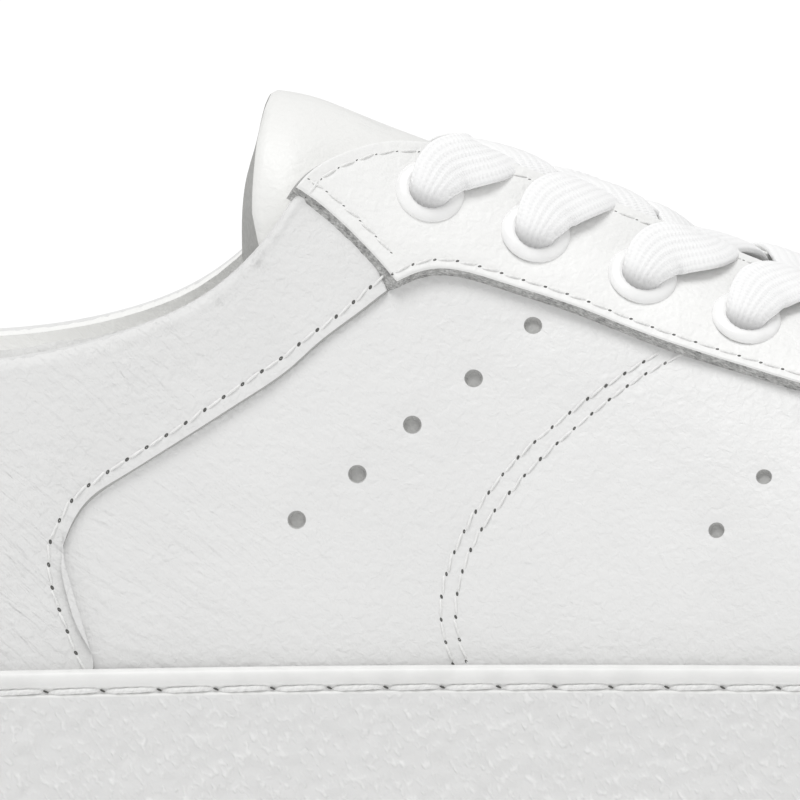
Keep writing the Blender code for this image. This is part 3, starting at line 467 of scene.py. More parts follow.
# ---------------------------------------------------------------- tongue and sole, mm
TONGUE_ACROSS = 91  # points
TONGUE_ALONG = 131
TONGUE_SHARES = (0.30, 0.20, 0.10, 0.0)  # heights under the throat's edge that its sides follow
THROAT_START = 105.0  # s on the topline where the throat's sides begin
TONGUE_EDGE_RADIUS = 0.6
TONGUE_CROWN = 0.013  # how steeply it falls to its sides, per mm
TONGUE_SLANT_AT = (0.0, 0.2, 0.45, 0.62, 0.72, 0.84, 1.0)
TONGUE_SLANT = (0.0, 0.35, 1.1, 1.4, 2.6, 5.2, 6.6)
TONGUE_SLANT_REACH = 5.0
SOLE_COLUMNS = 1160
INSOLE_COLUMNS = 260
SOLE_WALL_ROWS = 34
SOLE_FOOT_PROFILE = ((1.7, 0.0), (0.9, 0.25), (0.35, 0.8))  # inset and z, as in LIP_PROFILE
WALL_INSET = 0.12
WALL_FOOT = 1.5  # the textured wall
WALL_TOP = 20.6
PEBBLE_DEPTH = 0.28
PEBBLE_FADE = 0.8
LIP_PROFILE = (
    (0.15, 20.75), (0.24, 20.88), (0.42, 20.98), (0.55, 21.1), (0.58, 21.4), (0.52, 21.62), (0.36, 21.76),
    (0.2, 21.88), (0.07, 22.15), (0.0, 22.6), (0.02, 23.05), (0.18, 23.5), (0.5, 23.8), (0.95, 23.95),
    (1.5, 24.0),
)
LIP_CROWN = ((0.35, 0.10), (0.7, 0.05))  # shares of the way from its top to the cup, and rise
CUP_TOP = SIDEWALL_HEIGHT - 0.35
CUP_LEVELS = (SIDEWALL_HEIGHT - 1.5, 19.5, 13.5, TREAD_THICKNESS)  # z of the rings inside the cup
POCKET_FLOOR = -3.0
PEBBLE_SIZE = 1.1
FINER_PEBBLE_SIZE = 2.3
GROOVE_PITCH = 7.13
GROOVE_START = 75.1  # s of one of the tucks
GROOVE_Z = 21.36  # over the underside
GROOVE_INSET = 0.42
CORD_RADIUS = 0.37
CORD_PLIES = 3
CORD_PLY_DEPTH = 0.14  # share of the radius
CORD_TWIST = 1.9  # half the radians that it turns in each mm
CORD_DIVE = 0.42  # how far its ends dive into the groove
CORD_LEAN = 2.2  # degrees
CORD_SHARE = 0.97  # of the pitch
TUCK_LEAN = -24.0
TUCK_PROUD = 0.1
FOOTBED_THREAD = 0.9

# ---------------------------------------------------------------- camera, light and floor
CAMERA_TARGET = (120.0, -36.0, 57.3)  # design mm
CAMERA_DISTANCE = 1600.0
CAMERA_ELEVATION = 4.0
CAMERA_ROLL = -0.9
VIEW_WIDTH = 100.0  # mm of shoe across the picture
SENSOR_WIDTH = 36.0
SKY_STRENGTH = 0.6
FLOOR_SIZE = 14.0
FLOOR_TONE = (0.985, 0.985, 0.985)
SUN_STRENGTH = 1.62
SUN_SOFTNESS = 30.0  # degrees across
SUN_FROM = (-0.08, -0.27, 0.96)
FILL_SPOT = (60.0, -12.0, 46.0)  # inside the shoe, under its near rim, design mm
FILL_TARGET = (86.0, 26.0, 64.0)
FILL_SIZE = 0.02
FILL_WATTS = 0.0076

# ---------------------------------------------------------------- splines
def column(rows, names, name):
    return np.array([row[names.index(name)] for row in rows], float)


@functools.lru_cache(maxsize=None)
def bends(knots, values, period):
    """Second derivatives, at its knots, of the smooth cubic through them."""
    knots, values = np.array(knots), np.array(values)
    gap = np.diff(knots)
    slope = np.diff(values) / gap
    size = len(gap) if period else len(knots)
    system, right = np.zeros((size, size)), np.zeros(size)
    for i in range(size):
        before, after = (i - 1) % len(gap), i % len(gap)
        if not period and i in (0, size - 1):
            system[i, i] = 1.0
            continue
        system[i, (i - 1) % size] += gap[before]
        system[i, i] += 2 * (gap[before] + gap[after])
        system[i, (i + 1) % size] += gap[after]
        right[i] = 6 * (slope[after] - slope[before])
    bend = np.linalg.solve(system, right)
    return np.append(bend, bend[0]) if period else bend


def cubic(knots, values, at, period=None):
    """A smooth (C2) cubic through the knots: natural at its ends, or closed with the given period."""
    knots, values = np.asarray(knots, float), np.asarray(values, float)
    if period:
        knots = np.append(knots, knots[0] + period)
        values = np.append(values, values[0])
        at = (np.asarray(at, float) - knots[0]) % period + knots[0]
    bend = bends(tuple(knots), tuple(values), period)
    gap = np.diff(knots)
    cell = np.clip(np.searchsorted(knots, at, side="right") - 1, 0, len(gap) - 1)
    width, low = gap[cell], np.asarray(at) - knots[cell]
    high = width - low
    return (
        (bend[cell] * high**3 + bend[cell + 1] * low**3) / (6 * width)
        + (values[cell] / width - bend[cell] * width / 6) * high
        + (values[cell + 1] / width - bend[cell + 1] * width / 6) * low
    )


def smoothstep(x, start, end):
    u = np.clip((x - start) / (end - start), 0.0, 1.0)
    return u * u * (3 - 2 * u)


# ---------------------------------------------------------------- the last
# turn is the way round the shoe: 0 at the heel, pi at the toe, the outer side in between,
# and from pi to 2 pi back along the inner side.
def s_at(turn):
    return SHOE_LENGTH * (1 - np.cos(turn)) / 2


def turn_at(s):
    return np.arccos(1 - 2 * np.asarray(s, float) / SHOE_LENGTH)


def plan(turn):
    """The sole's outline, (s, y)."""
    s = s_at(turn)
    row_s = column(OUTLINE_ROWS, OUTLINE_COLUMNS, "s")
    oval = column(OUTLINE_ROWS, OUTLINE_COLUMNS, "half_width") / np.sin(turn_at(row_s))
    ends = [math.sqrt(radius * SHOE_LENGTH / 2) for radius in (HEEL_RADIUS, TOE_RADIUS)]
    knots = np.concatenate([[0], row_s, [SHOE_LENGTH]])
    fullness = cubic(knots, np.concatenate([ends[:1], oval, ends[1:]]), s)
    middle = column(OUTLINE_ROWS, OUTLINE_COLUMNS, "centre")
    centre = cubic(knots, np.concatenate([[AXIS_AT_HEEL], middle, [AXIS_AT_TOE]]), s)
    return np.stack([s, centre - np.sin(turn) * fullness], axis=-1)


def outward(turn):
    """Unit normal of the outline in plan, pointing away from the foot."""
    step = 1e-4
    along = plan(turn + step) - plan(turn - step)
    normal = np.stack([along[..., 1], -along[..., 0]], axis=-1)
    return normal / np.linalg.norm(normal, axis=-1, keepdims=True)


def outline(turn, inset):
    return plan(turn) - outward(turn) * np.asarray(inset, float)[..., None]


def ground(s):
    """Height of the sole's underside: flat, with toe spring and a little lift at the heel."""
    toe = np.clip((s - TOE_SPRING_START) / (SHOE_LENGTH - TOE_SPRING_START), 0, 1)
    heel = np.clip(1 - s / HEEL_LIFT_END, 0, 1)
    return TOE_SPRING * toe**2 + HEEL_LIFT * heel**2


def station_loop(name, turn):
    """One column of the stations as a closed smooth function round the shoe."""
    s_foot = column(STATION_ROWS, STATION_COLUMNS, "s_foot")
    out = turn_at(np.clip(s_foot, 0, SHOE_LENGTH))
    sides = {"y_top": ("y_outer", "y_inner"), "z_top": ("z_outer", "z_inner")}
    outer, inner = (column(STATION_ROWS, STATION_COLUMNS, side) for side in sides.get(name, (name, name)))
    knots = np.concatenate([out, 2 * math.pi - out[-2:0:-1]])
    values = np.concatenate([outer, inner[-2:0:-1]])
    return cubic(knots, values, turn, period=2 * math.pi)


def frame_origin():
    """Middle of the outline's box, on the floor."""
    edge = plan(np.linspace(0, 2 * math.pi, 721))
    return np.array([*((edge.min(axis=0) + edge.max(axis=0)) / 2), 0.0])


def upper_point(turn, height):
    """Outer face of the upper: height 0 at the feather line, 1 at the topline."""
    turn, height = np.broadcast_arrays(np.asarray(turn, float), np.asarray(height, float))
    foot = outline(turn, LIP_THICKNESS + FIT_GAP)
    lift = ground(s_at(turn))
    top = np.stack([station_loop("s_top", turn), station_loop("y_top", turn)], axis=-1)
    normal = outward(turn)
    away = PLAN_PULL * normal + foot - top
    away = away / np.linalg.norm(away, axis=-1, keepdims=True)
    z_foot, z_top = FEATHER_Z + lift, station_loop("z_top", turn)
    first = foot + normal * station_loop("flare", turn)[..., None]
    second = top + away * station_loop("spread", turn)[..., None]
    poles = (
        np.concatenate([foot, z_foot[..., None]], axis=-1),
        np.concatenate([first, (z_foot + station_loop("rise", turn))[..., None]], axis=-1),
        np.concatenate([second, (z_top - station_loop("drop", turn))[..., None]], axis=-1),
        np.concatenate([top, z_top[..., None]], axis=-1),
    )
    t = height[..., None]
    return (
        poles[0] * (1 - t) ** 3
        + poles[1] * 3 * t * (1 - t) ** 2
        + poles[2] * 3 * t**2 * (1 - t)
        + poles[3] * t**3
    )


def upper_normal(turn, height):
    """Unit normal of the outer face, pointing out of the shoe."""
    step = 1e-3
    round_ = upper_point(turn + step, height) - upper_point(turn - step, height)
    up = upper_point(turn, height + step) - upper_point(turn, height - step)
    normal = np.cross(round_, up)
    return normal / np.linalg.norm(normal, axis=-1, keepdims=True)


def upper_offset(turn, height, distance):
    """A point that far outside (or, if negative, inside) the outer face."""
    distance = np.asarray(distance, float)[..., None]
    return upper_point(turn, height) + upper_normal(turn, height) * distance


def with_slopes(turn, height):
    """A point of the outer face, and how it moves with turn and with height."""
    step = 1e-4
    here = upper_point(turn, height)
    by_turn = (upper_point(turn + step, height) - here) / step
    return here, by_turn, (upper_point(turn, height + step) - here) / step


def locate(s, across, axis, turn, height):
    """Turn and height of the points at (s, z) seen from the side (axis 2) or (s, y) seen from above
    (axis 1), by Newton's method from a first guess."""
    for _ in range(LOCATE_ROUNDS):
        here, by_turn, by_height = with_slopes(turn, height)
        miss_s, miss = s - here[..., 0], across - here[..., axis]
        area = by_turn[..., 0] * by_height[..., axis] - by_height[..., 0] * by_turn[..., axis]
        more_turn = (miss_s * by_height[..., axis] - miss * by_height[..., 0]) / area
        more_height = (by_turn[..., 0] * miss - by_turn[..., axis] * miss_s) / area
        turn = turn + np.clip(more_turn, -LOCATE_TURN, LOCATE_TURN)
        height = np.clip(height + np.clip(more_height, -LOCATE_HEIGHT, LOCATE_HEIGHT), 0.0, LOCATE_TOP)
    return np.stack([turn, height], axis=-1)


def side_curve(points, side):
    """Turn and height of each (s, z) of a curve seen from the side, on the outer or inner side."""
    s, z = np.asarray(points, float).T
    turn = turn_at(s)
    if side == "inner":
        turn = 2 * math.pi - turn
    guess = np.clip((z - FEATHER_Z) / (station_loop("z_top", turn) - FEATHER_Z), 0.02, 0.95)
    return locate(s, z, 2, turn, guess)


def height_at(turns, z):
    """Height on the upper at that z, straight up its wall, for each turn."""
    heights = np.linspace(0, 1, 101)
    turns = np.atleast_1d(np.asarray(turns, float))
    walls = upper_point(turns[:, None], heights[None, :])[..., 2]
    levels = np.broadcast_to(z, turns.shape)
    return np.array([np.interp(level, wall, heights) for level, wall in zip(levels, walls)])


def length_run(points):
    """Length of the line through the points up to each of them."""
    return np.concatenate([[0], np.cumsum(np.linalg.norm(np.diff(points, axis=0), axis=1))])


def on_curve(run, points, at):
    """The smooth curve through the points, whose lengths along it are run, at other lengths."""
    return np.stack([cubic(run, points[:, k], at) for k in range(points.shape[1])], axis=1)


def at_shares(curve, shares):
    """The points of a curve (rows of turn and height) at those shares of its length."""
    curve = np.asarray(curve, float)
    run = length_run(upper_point(curve[:, 0], curve[:, 1]))
    return on_curve(run, curve, np.asarray(shares) * run[-1])


def stepped(curve, pitch):
    """The curve as points one pitch apart."""
    curve = np.asarray(curve, float)
    run = length_run(upper_point(curve[:, 0], curve[:, 1]))
    count = max(2, int(round(run[-1] / pitch)))
    return at_shares(curve, np.linspace(0, 1, count + 1))


def shifted(curve, distance):
    """The curve moved that far over the leather, to its left as it runs, seen from outside."""
    turn, height = curve[:, 0], curve[:, 1]
    along = unit(np.gradient(upper_point(turn, height), axis=0))
    aside = np.cross(upper_normal(turn, height), along) * distance
    _, by_turn, by_height = with_slopes(turn, height)
    a, b, c = dots(by_turn, by_turn), dots(by_turn, by_height), dots(by_height, by_height)
    p, q = dots(by_turn, aside), dots(by_height, aside)
    area = a * c - b * b
    return np.stack([turn + (c * p - b * q) / area, height + (a * q - b * p) / area], axis=1)


def unit(vectors):
    return vectors / np.maximum(np.linalg.norm(vectors, axis=-1, keepdims=True), 1e-12)


def dots(a, b):
    return (a * b).sum(axis=-1)


def wall_thickness(turn, height):
    """Leather and lining, with the foam of the collar near the topline."""
    s_top = station_loop("s_top", turn)
    padded = 1 - smoothstep(s_top, COLLAR_PADDING_END - COLLAR_PADDING_FADE, COLLAR_PADDING_END)
    return WALL + COLLAR_PADDING * padded * smoothstep(height, *COLLAR_PADDING_RISE)


# ---------------------------------------------------------------- relief: troughs and ridges
def strokes_relief(points, strokes):
    """Height of soft troughs (negative) and ridges at the points, seen from the side and alike on both
    sides. Each stroke is (height, half width, points) and fades out at both ends."""
    s, z = points[..., 0], points[..., 2]
    total = np.zeros(s.shape)
    for rise, width, line in strokes:
        path = np.asarray(line, float)
        low, high = path.min(axis=0) - 3 * width, path.max(axis=0) + 3 * width
        near = (s > low[0]) & (s < high[0]) & (z > low[1]) & (z < high[1])
        if not near.any():
            continue
        spot = np.stack([s[near], z[near]], axis=-1)
        best = np.full(len(spot), np.inf)
        fade = np.zeros(len(spot))
        for number, (start, stop) in enumerate(zip(path, path[1:])):
            run = stop - start
            share = np.clip((spot - start) @ run / (run @ run), 0, 1)
            gap = np.linalg.norm(spot - start - share[:, None] * run, axis=1)
            closer = gap < best
            best = np.where(closer, gap, best)
            fade = np.where(closer, (number + share) / (len(path) - 1), fade)
        ends = np.sqrt(np.clip(np.sin(np.pi * np.clip(fade, 0.02, 0.98)), 0, 1))
        total[near] += rise * ends * np.exp(-((best / width) ** 2))
    return total


def nearness(points, line, width):
    """1 on a line of points in space, falling off softly over that width."""
    best = np.full(points.shape[:-1], np.inf)
    for spot in line:
        best = np.minimum(best, ((points - spot) ** 2).sum(axis=-1))
    return np.exp(-best / width**2)


def drawn_in(points, spots, dent):
    """How far the leather is drawn in round those spots: dent is (depth, reach)."""
    depth, reach = dent
    return depth * nearness(points, spots, reach)


def seam_dents(points, curves, dent):
    """How far the leather is drawn in along some seams, given in turn and height."""
    total = np.zeros(points.shape[:-1])
    for curve in curves:
        dense = stepped(curve, DENT_STEP)
        total += drawn_in(points, upper_point(dense[:, 0], dense[:, 1]), dent)
    return total


def uneven(points, waves):
    """The leather's own unevenness."""
    return sum(height * wander(points, size, seed) for height, size, seed in waves)


def wander(points, size, seed):
    """A smooth random field from -1 to 1 whose bumps are about that size in mm."""
    random = np.random.default_rng(seed)
    total = np.zeros(points.shape[:-1])
    for _ in range(WAVE_COUNT):
        wave = unit(random.normal(size=3)) * 2 * math.pi / size * random.uniform(*WAVE_SPREAD)
        total += np.sin(points @ wave + random.uniform(0, 2 * math.pi))
    return total / WAVE_COUNT * WAVE_GAIN


# ---------------------------------------------------------------- meshes
def place(points):
    """Design millimetres to the frame's metres."""
    return (np.asarray(points, float).reshape(-1, 3) - frame_origin()) * MM


def add(name, data):
    """A new object in the scene."""
    thing = bpy.data.objects.new(name, data)
    bpy.context.scene.collection.objects.link(thing)
    return thing


def design_mesh(name, points, faces, finishes=(), finish_of=None):
    """A mesh whose faces all look outwards; finish_of gives each face's place in finishes."""
    mesh = bpy.data.meshes.new(name)
    mesh.from_pydata(place(points).tolist(), [], [list(map(int, face)) for face in faces])
    for finish in finishes:
        mesh.materials.append(finish)
    if finish_of is not None:
        mesh.polygons.foreach_set("material_index", np.asarray(finish_of, np.int32))
    shell = bmesh.new()
    shell.from_mesh(mesh)
    bmesh.ops.recalc_face_normals(shell, faces=shell.faces)
    shell.to_mesh(mesh)
    shell.free()
    return mesh


def sharpen(mesh, degrees):
    mesh.set_sharp_from_angle(angle=math.radians(degrees))


def new_piece(name, points, faces, finishes, slot, finish_of=None, sharp=SHARP):
    """A piece that rides on the shoe; edges over sharp degrees stay sharp."""
    mesh = design_mesh(name, points, faces, finishes, finish_of)
    mesh.shade_smooth()
    if sharp:
        sharpen(mesh, sharp)
    piece = add(name, mesh)
    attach(piece, "root")
    return piece


def ring_faces(rings, columns, wrap=False):
    """Quads between closed rings of points; wrap joins the last ring to the first."""
    row = np.arange(rings if wrap else rings - 1)[:, None]
    here = row * columns + np.arange(columns)
    beside = row * columns + (np.arange(columns) + 1) % columns
    lift = ((row + 1) % rings - row) * columns
    return np.stack([here, beside, beside + lift, here + lift], axis=-1).reshape(-1, 4)


def tube_faces(rings, columns):
    """Faces of a tube of rings with a flat face at each end."""
    last = (rings - 1) * columns
    return ring_faces(rings, columns).tolist() + [list(range(columns)), list(range(last, last + columns))]


def cap_faces(start, columns):
    """Strips straight across a ring, from each point to its partner on the other side of the foot."""
    half = columns // 2
    faces = [(start, start + 1, start + columns - 1)]
    faces += [
        (start + i, start + i + 1, start + columns - i - 1, start + columns - i)
        for i in range(1, half - 1)
    ]
    faces.append((start + half - 1, start + half, start + half + 1))
    return faces


def grid_normals(grid, upward=None):
    """Unit normals of a grid of points; upward turns them all so that most point up."""
    normal = unit(np.cross(np.gradient(grid, axis=1), np.gradient(grid, axis=0)))
    if upward and normal[..., 2].sum() < 0:
        normal = -normal
    return normal


def border_of(rows, columns):
    """Places of a grid's border points, once round it."""
    border = [(0, c) for c in range(columns)]
    border += [(r, columns - 1) for r in range(1, rows)]
    border += [(rows - 1, c) for c in range(columns - 2, -1, -1)]
    border += [(r, 0) for r in range(rows - 2, 0, -1)]
    return np.array([r * columns + c for r, c in border])


def sheet_piece(name, layers, finishes, slot, sharp):
    """A closed sheet: its face is the first layer, its back the last, and the borders of the layers
    between them make the walls, which take the second finish if there is one."""
    rows, columns = layers[0].shape[:2]
    corner = (np.arange(rows - 1)[:, None] * columns + np.arange(columns - 1)).reshape(-1)
    quads = np.stack([corner, corner + 1, corner + columns + 1, corner + columns], axis=-1)
    count = rows * columns
    loop = border_of(rows, columns)
    steps = len(layers) - 2
    walls = [layer.reshape(-1, 3)[loop] for layer in layers[1:-1]]
    points = np.concatenate([layers[0].reshape(-1, 3), layers[-1].reshape(-1, 3)] + walls)
    chain = [loop] + [2 * count + k * len(loop) + np.arange(len(loop)) for k in range(steps)]
    chain.append(count + loop)
    sides = []
    for upper, lower in zip(chain, chain[1:]):
        sides.append(np.stack([upper, np.roll(upper, -1), np.roll(lower, -1), lower], axis=-1))
    sides = np.concatenate(sides)
    faces = np.concatenate([quads, quads[:, ::-1] + count, sides])
    finish_of = None
    if len(finishes) > 1:
        finish_of = np.concatenate([np.zeros(2 * len(quads)), np.ones(len(sides))])
    return new_piece(name, points, faces, finishes, slot, finish_of, sharp)


def cut(target, parts, finish):
    """Cut closed parts, as (points, faces), out of a piece for good, and line the cuts with a finish."""
    tool = add("tool", design_mesh("tool", *joined(parts), [finish]))
    trim = target.modifiers.new("cut", "BOOLEAN")
    trim.operation = "DIFFERENCE"
    trim.solver = "EXACT"
    trim.object = tool
    trim.material_mode = "TRANSFER"
    bpy.context.view_layer.update()
    ready = target.evaluated_get(bpy.context.evaluated_depsgraph_get())
    mesh = bpy.data.meshes.new_from_object(ready)
    target.modifiers.clear()
    old, target.data = target.data, mesh
    bpy.data.meshes.remove(old)
    bpy.data.objects.remove(tool, do_unlink=True)


def turned(profile, centre, axis, sides, wrap):
    """Points and faces of a profile of (radius, rise) turned about an axis; wrap joins the profile's
    ends, which otherwise get flat faces."""
    spin = np.array(Vector(axis).normalized().to_track_quat("Z", "Y").to_matrix())
    angle = 2 * math.pi * np.arange(sides) / sides
    points = []
    for radius, rise in profile:
        ring = np.stack([radius * np.cos(angle), radius * np.sin(angle), np.full(sides, rise)], axis=1)
        points.append(ring @ spin.T + centre)
    faces = ring_faces(len(profile), sides, True).tolist() if wrap else tube_faces(len(profile), sides)
    return np.concatenate(points), faces


def joined(parts):
    """Several (points, faces) as one."""
    points, faces, start = [], [], 0
    for some_points, some_faces in parts:
        points.append(some_points)
        faces += [[start + int(k) for k in face] for face in some_faces]
        start += len(some_points)
    return np.concatenate(points), faces


def strew(template, frames):
    """Copies of a small mesh: each frame is (centre, along, across, up)."""
    points, faces = template
    parts = []
    for centre, along, across, up in frames:
        parts.append((centre + points @ np.stack([along, across, up]), faces))
    return joined(parts)


# ---------------------------------------------------------------- materials
def new_finish(name, colour, roughness, specular):
    """A material, its node tree and its shader."""
    finish = bpy.data.materials.new(name)
    finish.use_nodes = True
    tree = finish.node_tree
    shader = tree.nodes["Principled BSDF"]
    shader.inputs["Base Color"].default_value = (*colour, 1.0)
    shader.inputs["Roughness"].default_value = roughness
    shader.inputs["Specular IOR Level"].default_value = specular
    return finish, tree, shader


def node(tree, kind, inputs, **settings):
    """A new node, with its inputs, by name or place, set to a value or linked to a socket."""
    made = tree.nodes.new("ShaderNode" + kind)
    for name, value in settings.items():
        setattr(made, name, value)
    for key, value in inputs.items() if isinstance(inputs, dict) else enumerate(inputs):
        if isinstance(value, bpy.types.NodeSocket):
            tree.links.new(value, made.inputs[key])
        else:
            made.inputs[key].default_value = value
    return made.outputs


def spot_of(tree, stretch=(1.0, 1.0, 1.0), slope=0.0):
    """Object coordinates in millimetres, seen along lines that fall by that many degrees towards the
    toe, and divided by stretch: along the lines, across the shoe, and across the lines."""
    where = node(tree, "TexCoord", {})["Object"]
    turn = node(tree, "Mapping", {"Vector": where, "Rotation": (0.0, math.radians(-slope), 0.0)})
    scale = [1 / MM / size for size in stretch]
    return node(tree, "Mapping", {"Vector": turn["Vector"], "Scale": scale})["Vector"]


def zone_mask(tree, zones):
    """How strong the wrinkles are at a place, alike on both sides: the sum of the zones there."""
    where = node(tree, "TexCoord", {})["Object"]
    straight = node(tree, "SeparateXYZ", [where])
    folded = node(tree, "SeparateXYZ", node(tree, "VectorMath", [where], operation="ABSOLUTE")[:1])
    mirrored = node(tree, "CombineXYZ", [straight[0], folded[1], straight[2]])[0]
    total = 0.0
    for centre, reach, strength in zones:
        gap = node(tree, "VectorMath", [mirrored, place(centre)[0]], operation="DISTANCE")["Value"]
        total = maths(tree, "ADD", spread(tree, gap, 0.25 * reach * MM, reach * MM, strength, 0.0), total)
    return total


def noise(tree, spot, size, detail, rough=0.5, distortion=0.0):
    """Soft noise whose bumps are about size mm."""
    settings = {"Scale": 1 / size, "Detail": detail, "Roughness": rough, "Distortion": distortion}
    return node(tree, "TexNoise", {"Vector": spot, **settings})["Fac"]


def cells(tree, spot, size, smooth=0.5):
    """Pebbles about size mm across: the distance from each one's middle."""
    settings = {"Scale": 1 / size, "Smoothness": smooth}
    return node(tree, "TexVoronoi", {"Vector": spot, **settings}, feature="SMOOTH_F1")["Distance"]


def maths(tree, operation, first, second=0.0, clamp=False):
    return node(tree, "Math", [first, second], operation=operation, use_clamp=clamp)[0]


def spread(tree, value, low, high, to_low=0.0, to_high=1.0):
    """The value, with low to high moved to to_low to to_high."""
    ends = {"From Min": low, "From Max": high, "To Min": to_low, "To Max": to_high}
    return node(tree, "MapRange", {"Value": value, **ends}, interpolation_type="SMOOTHSTEP")["Result"]


def colours(tree, value, stops):
    """A ramp of (place, colour) read at the value."""
    ramp = tree.nodes.new("ShaderNodeValToRGB")
    line = ramp.color_ramp
    while len(line.elements) < len(stops):
        line.elements.new(0.5)
    for element, (spot, colour) in zip(line.elements, stops):
        element.position = spot
        element.color = (*colour, 1.0)
    tree.links.new(value, ramp.inputs["Fac"])
    return ramp.outputs["Color"]


def paint(tree, shader, value, stops):
    tree.links.new(colours(tree, value, stops), shader.inputs["Base Color"])


def shaded(tone, share):
    return tuple(channel * share for channel in tone)


def bump(tree, shader, height, depth, under=None):
    """Bump of that many mm; under is the bump it lies on. Returns its normal."""
    inputs = {"Distance": depth * MM, "Strength": 1.0, "Height": height}
    if under is not None:
        inputs["Normal"] = under
    normal = node(tree, "Bump", inputs)["Normal"]
    tree.links.new(normal, shader.inputs["Normal"])
    return normal


def leather_finish(name, tone, grain, zones, slope, specular=0.35):
    """Smooth full-grain leather: fine pores, soft unevenness, and wrinkles that fall by slope degrees
    towards the toe, strong in the zones and faint elsewhere."""
    finish, tree, shader = new_finish(name, tone, 0.42, specular)
    spot = spot_of(tree)
    strength = maths(tree, "ADD", zone_mask(tree, zones), 0.08)
    folds = noise(tree, spot_of(tree, (8.0, 3.0, 1.5), slope), 1.0, 2.0, 0.5, 0.6)
    hairs = noise(tree, spot_of(tree, (4.5, 2.5, 0.75), slope + 10.0), 1.0, 1.5, 0.5, 0.5)
    folds = maths(tree, "ADD", folds, maths(tree, "MULTIPLY", hairs, 0.4))
    folds = maths(tree, "MULTIPLY", folds, strength)
    pores = cells(tree, spot, 0.75, 0.6)
    pebbled = noise(tree, spot, 1.15, 2.0, 0.55, 0.4)
    fine = noise(tree, spot, 0.35, 2.0, 0.6)
    normal = bump(tree, shader, noise(tree, spot, 7.0, 2.0, 0.5), 0.2)
    normal = bump(tree, shader, folds, 0.34, normal)
    normal = bump(tree, shader, pebbled, 0.2 * grain, normal)
    normal = bump(tree, shader, maths(tree, "ADD", pores, fine), 0.014 * grain, normal)
    cloud = noise(tree, spot, 22.0, 3.0)
    paint(tree, shader, cloud, ((0.35, shaded(tone, 0.975)), (0.6, tone)))
    tree.links.new(spread(tree, fine, 0.3, 0.7, 0.38, 0.5), shader.inputs["Roughness"])
    return finish


def raw_edge_finish():
    """The cut edge of the leather, grey and fibrous."""
    finish, tree, shader = new_finish("raw_edge", (0.27, 0.27, 0.265), 0.9, 0.1)
    spot = spot_of(tree)
    fibres = noise(tree, spot_of(tree, (2.0, 1.0, 1.0), 20.0), 0.3, 4.0, 0.7)
    lumps = noise(tree, spot, 1.5, 2.0)
    mix = maths(tree, "ADD", maths(tree, "MULTIPLY", fibres, 0.75), maths(tree, "MULTIPLY", lumps, 0.25))
    stops = ((0.34, (0.19, 0.19, 0.187)), (0.5, (0.43, 0.43, 0.423)), (0.64, (0.65, 0.65, 0.64)))
    paint(tree, shader, mix, stops)
    bump(tree, shader, fibres, 0.18)
    return finish


def felt_finish():
    """The tongue's cut end: pale grey felt."""
    finish, tree, shader = new_finish("tongue_felt", (0.42, 0.42, 0.40), 0.95, 0.1)
    fibres = noise(tree, spot_of(tree, (1.0, 1.0, 2.0)), 0.35, 4.0, 0.7)
    stops = ((0.3, (0.38, 0.38, 0.37)), (0.7, (0.49, 0.49, 0.48)))
    paint(tree, shader, fibres, stops)
    bump(tree, shader, fibres, 0.1)
    return finish


def lining_finish():
    finish, tree, shader = new_finish("lining_leather", (0.91, 0.91, 0.895), 0.6, 0.25)
    spot = spot_of(tree)
    folds = noise(tree, spot_of(tree, (3.0, 2.0, 1.0), 40.0), 1.1, 3.0, 0.6, 0.5)
    normal = bump(tree, shader, folds, 0.25)
    bump(tree, shader, cells(tree, spot, 0.8), 0.03, normal)
    cloud = noise(tree, spot, 14.0, 3.0)
    stops = ((0.35, (0.89, 0.89, 0.875)), (0.65, (0.93, 0.93, 0.915)))
    paint(tree, shader, cloud, stops)
    return finish


def rubber_finish(name, tone, pebble):
    """Moulded rubber; pebble is the depth of its texture in mm. Its raised dabs get a painted highlight,
    and the hollows between them painted shade.
    """
    finish, tree, shader = new_finish(name, tone, 0.5, 0.3)
    spot = spot_of(tree)
    lumps = noise(tree, spot_of(tree, (1.25, 0.8, 0.75), 58.0), 0.85, 0.6, 0.5, 0.1)
    dabs_and_highlights = spread(tree, lumps, 0.45, 0.85, 0.0, 1.0)
    fine = noise(tree, spot, 0.6, 1.0, 0.5)
    normal = bump(tree, shader, dabs_and_highlights, pebble)
    bump(tree, shader, fine, 0.04, normal)
    # Painted highlight on the raised dabs, painted shade in the hollows between them.
    paint(tree, shader, dabs_and_highlights, ((0.0, shaded(tone, 0.97)), (0.35, tone), (0.9, shaded(tone, 1.07))))
    return finish


def thread_finish(name, tone):
    """Twisted thread: faint slanting strands."""
    finish, tree, shader = new_finish(name, tone, 0.7, 0.2)
    strands = noise(tree, spot_of(tree, (0.3, 1.0, 0.9), 35.0), 1.0, 2.0)
    bump(tree, shader, strands, 0.06)
    paint(tree, shader, strands, ((0.35, shaded(tone, 0.9)), (0.6, tone)))
    return finish


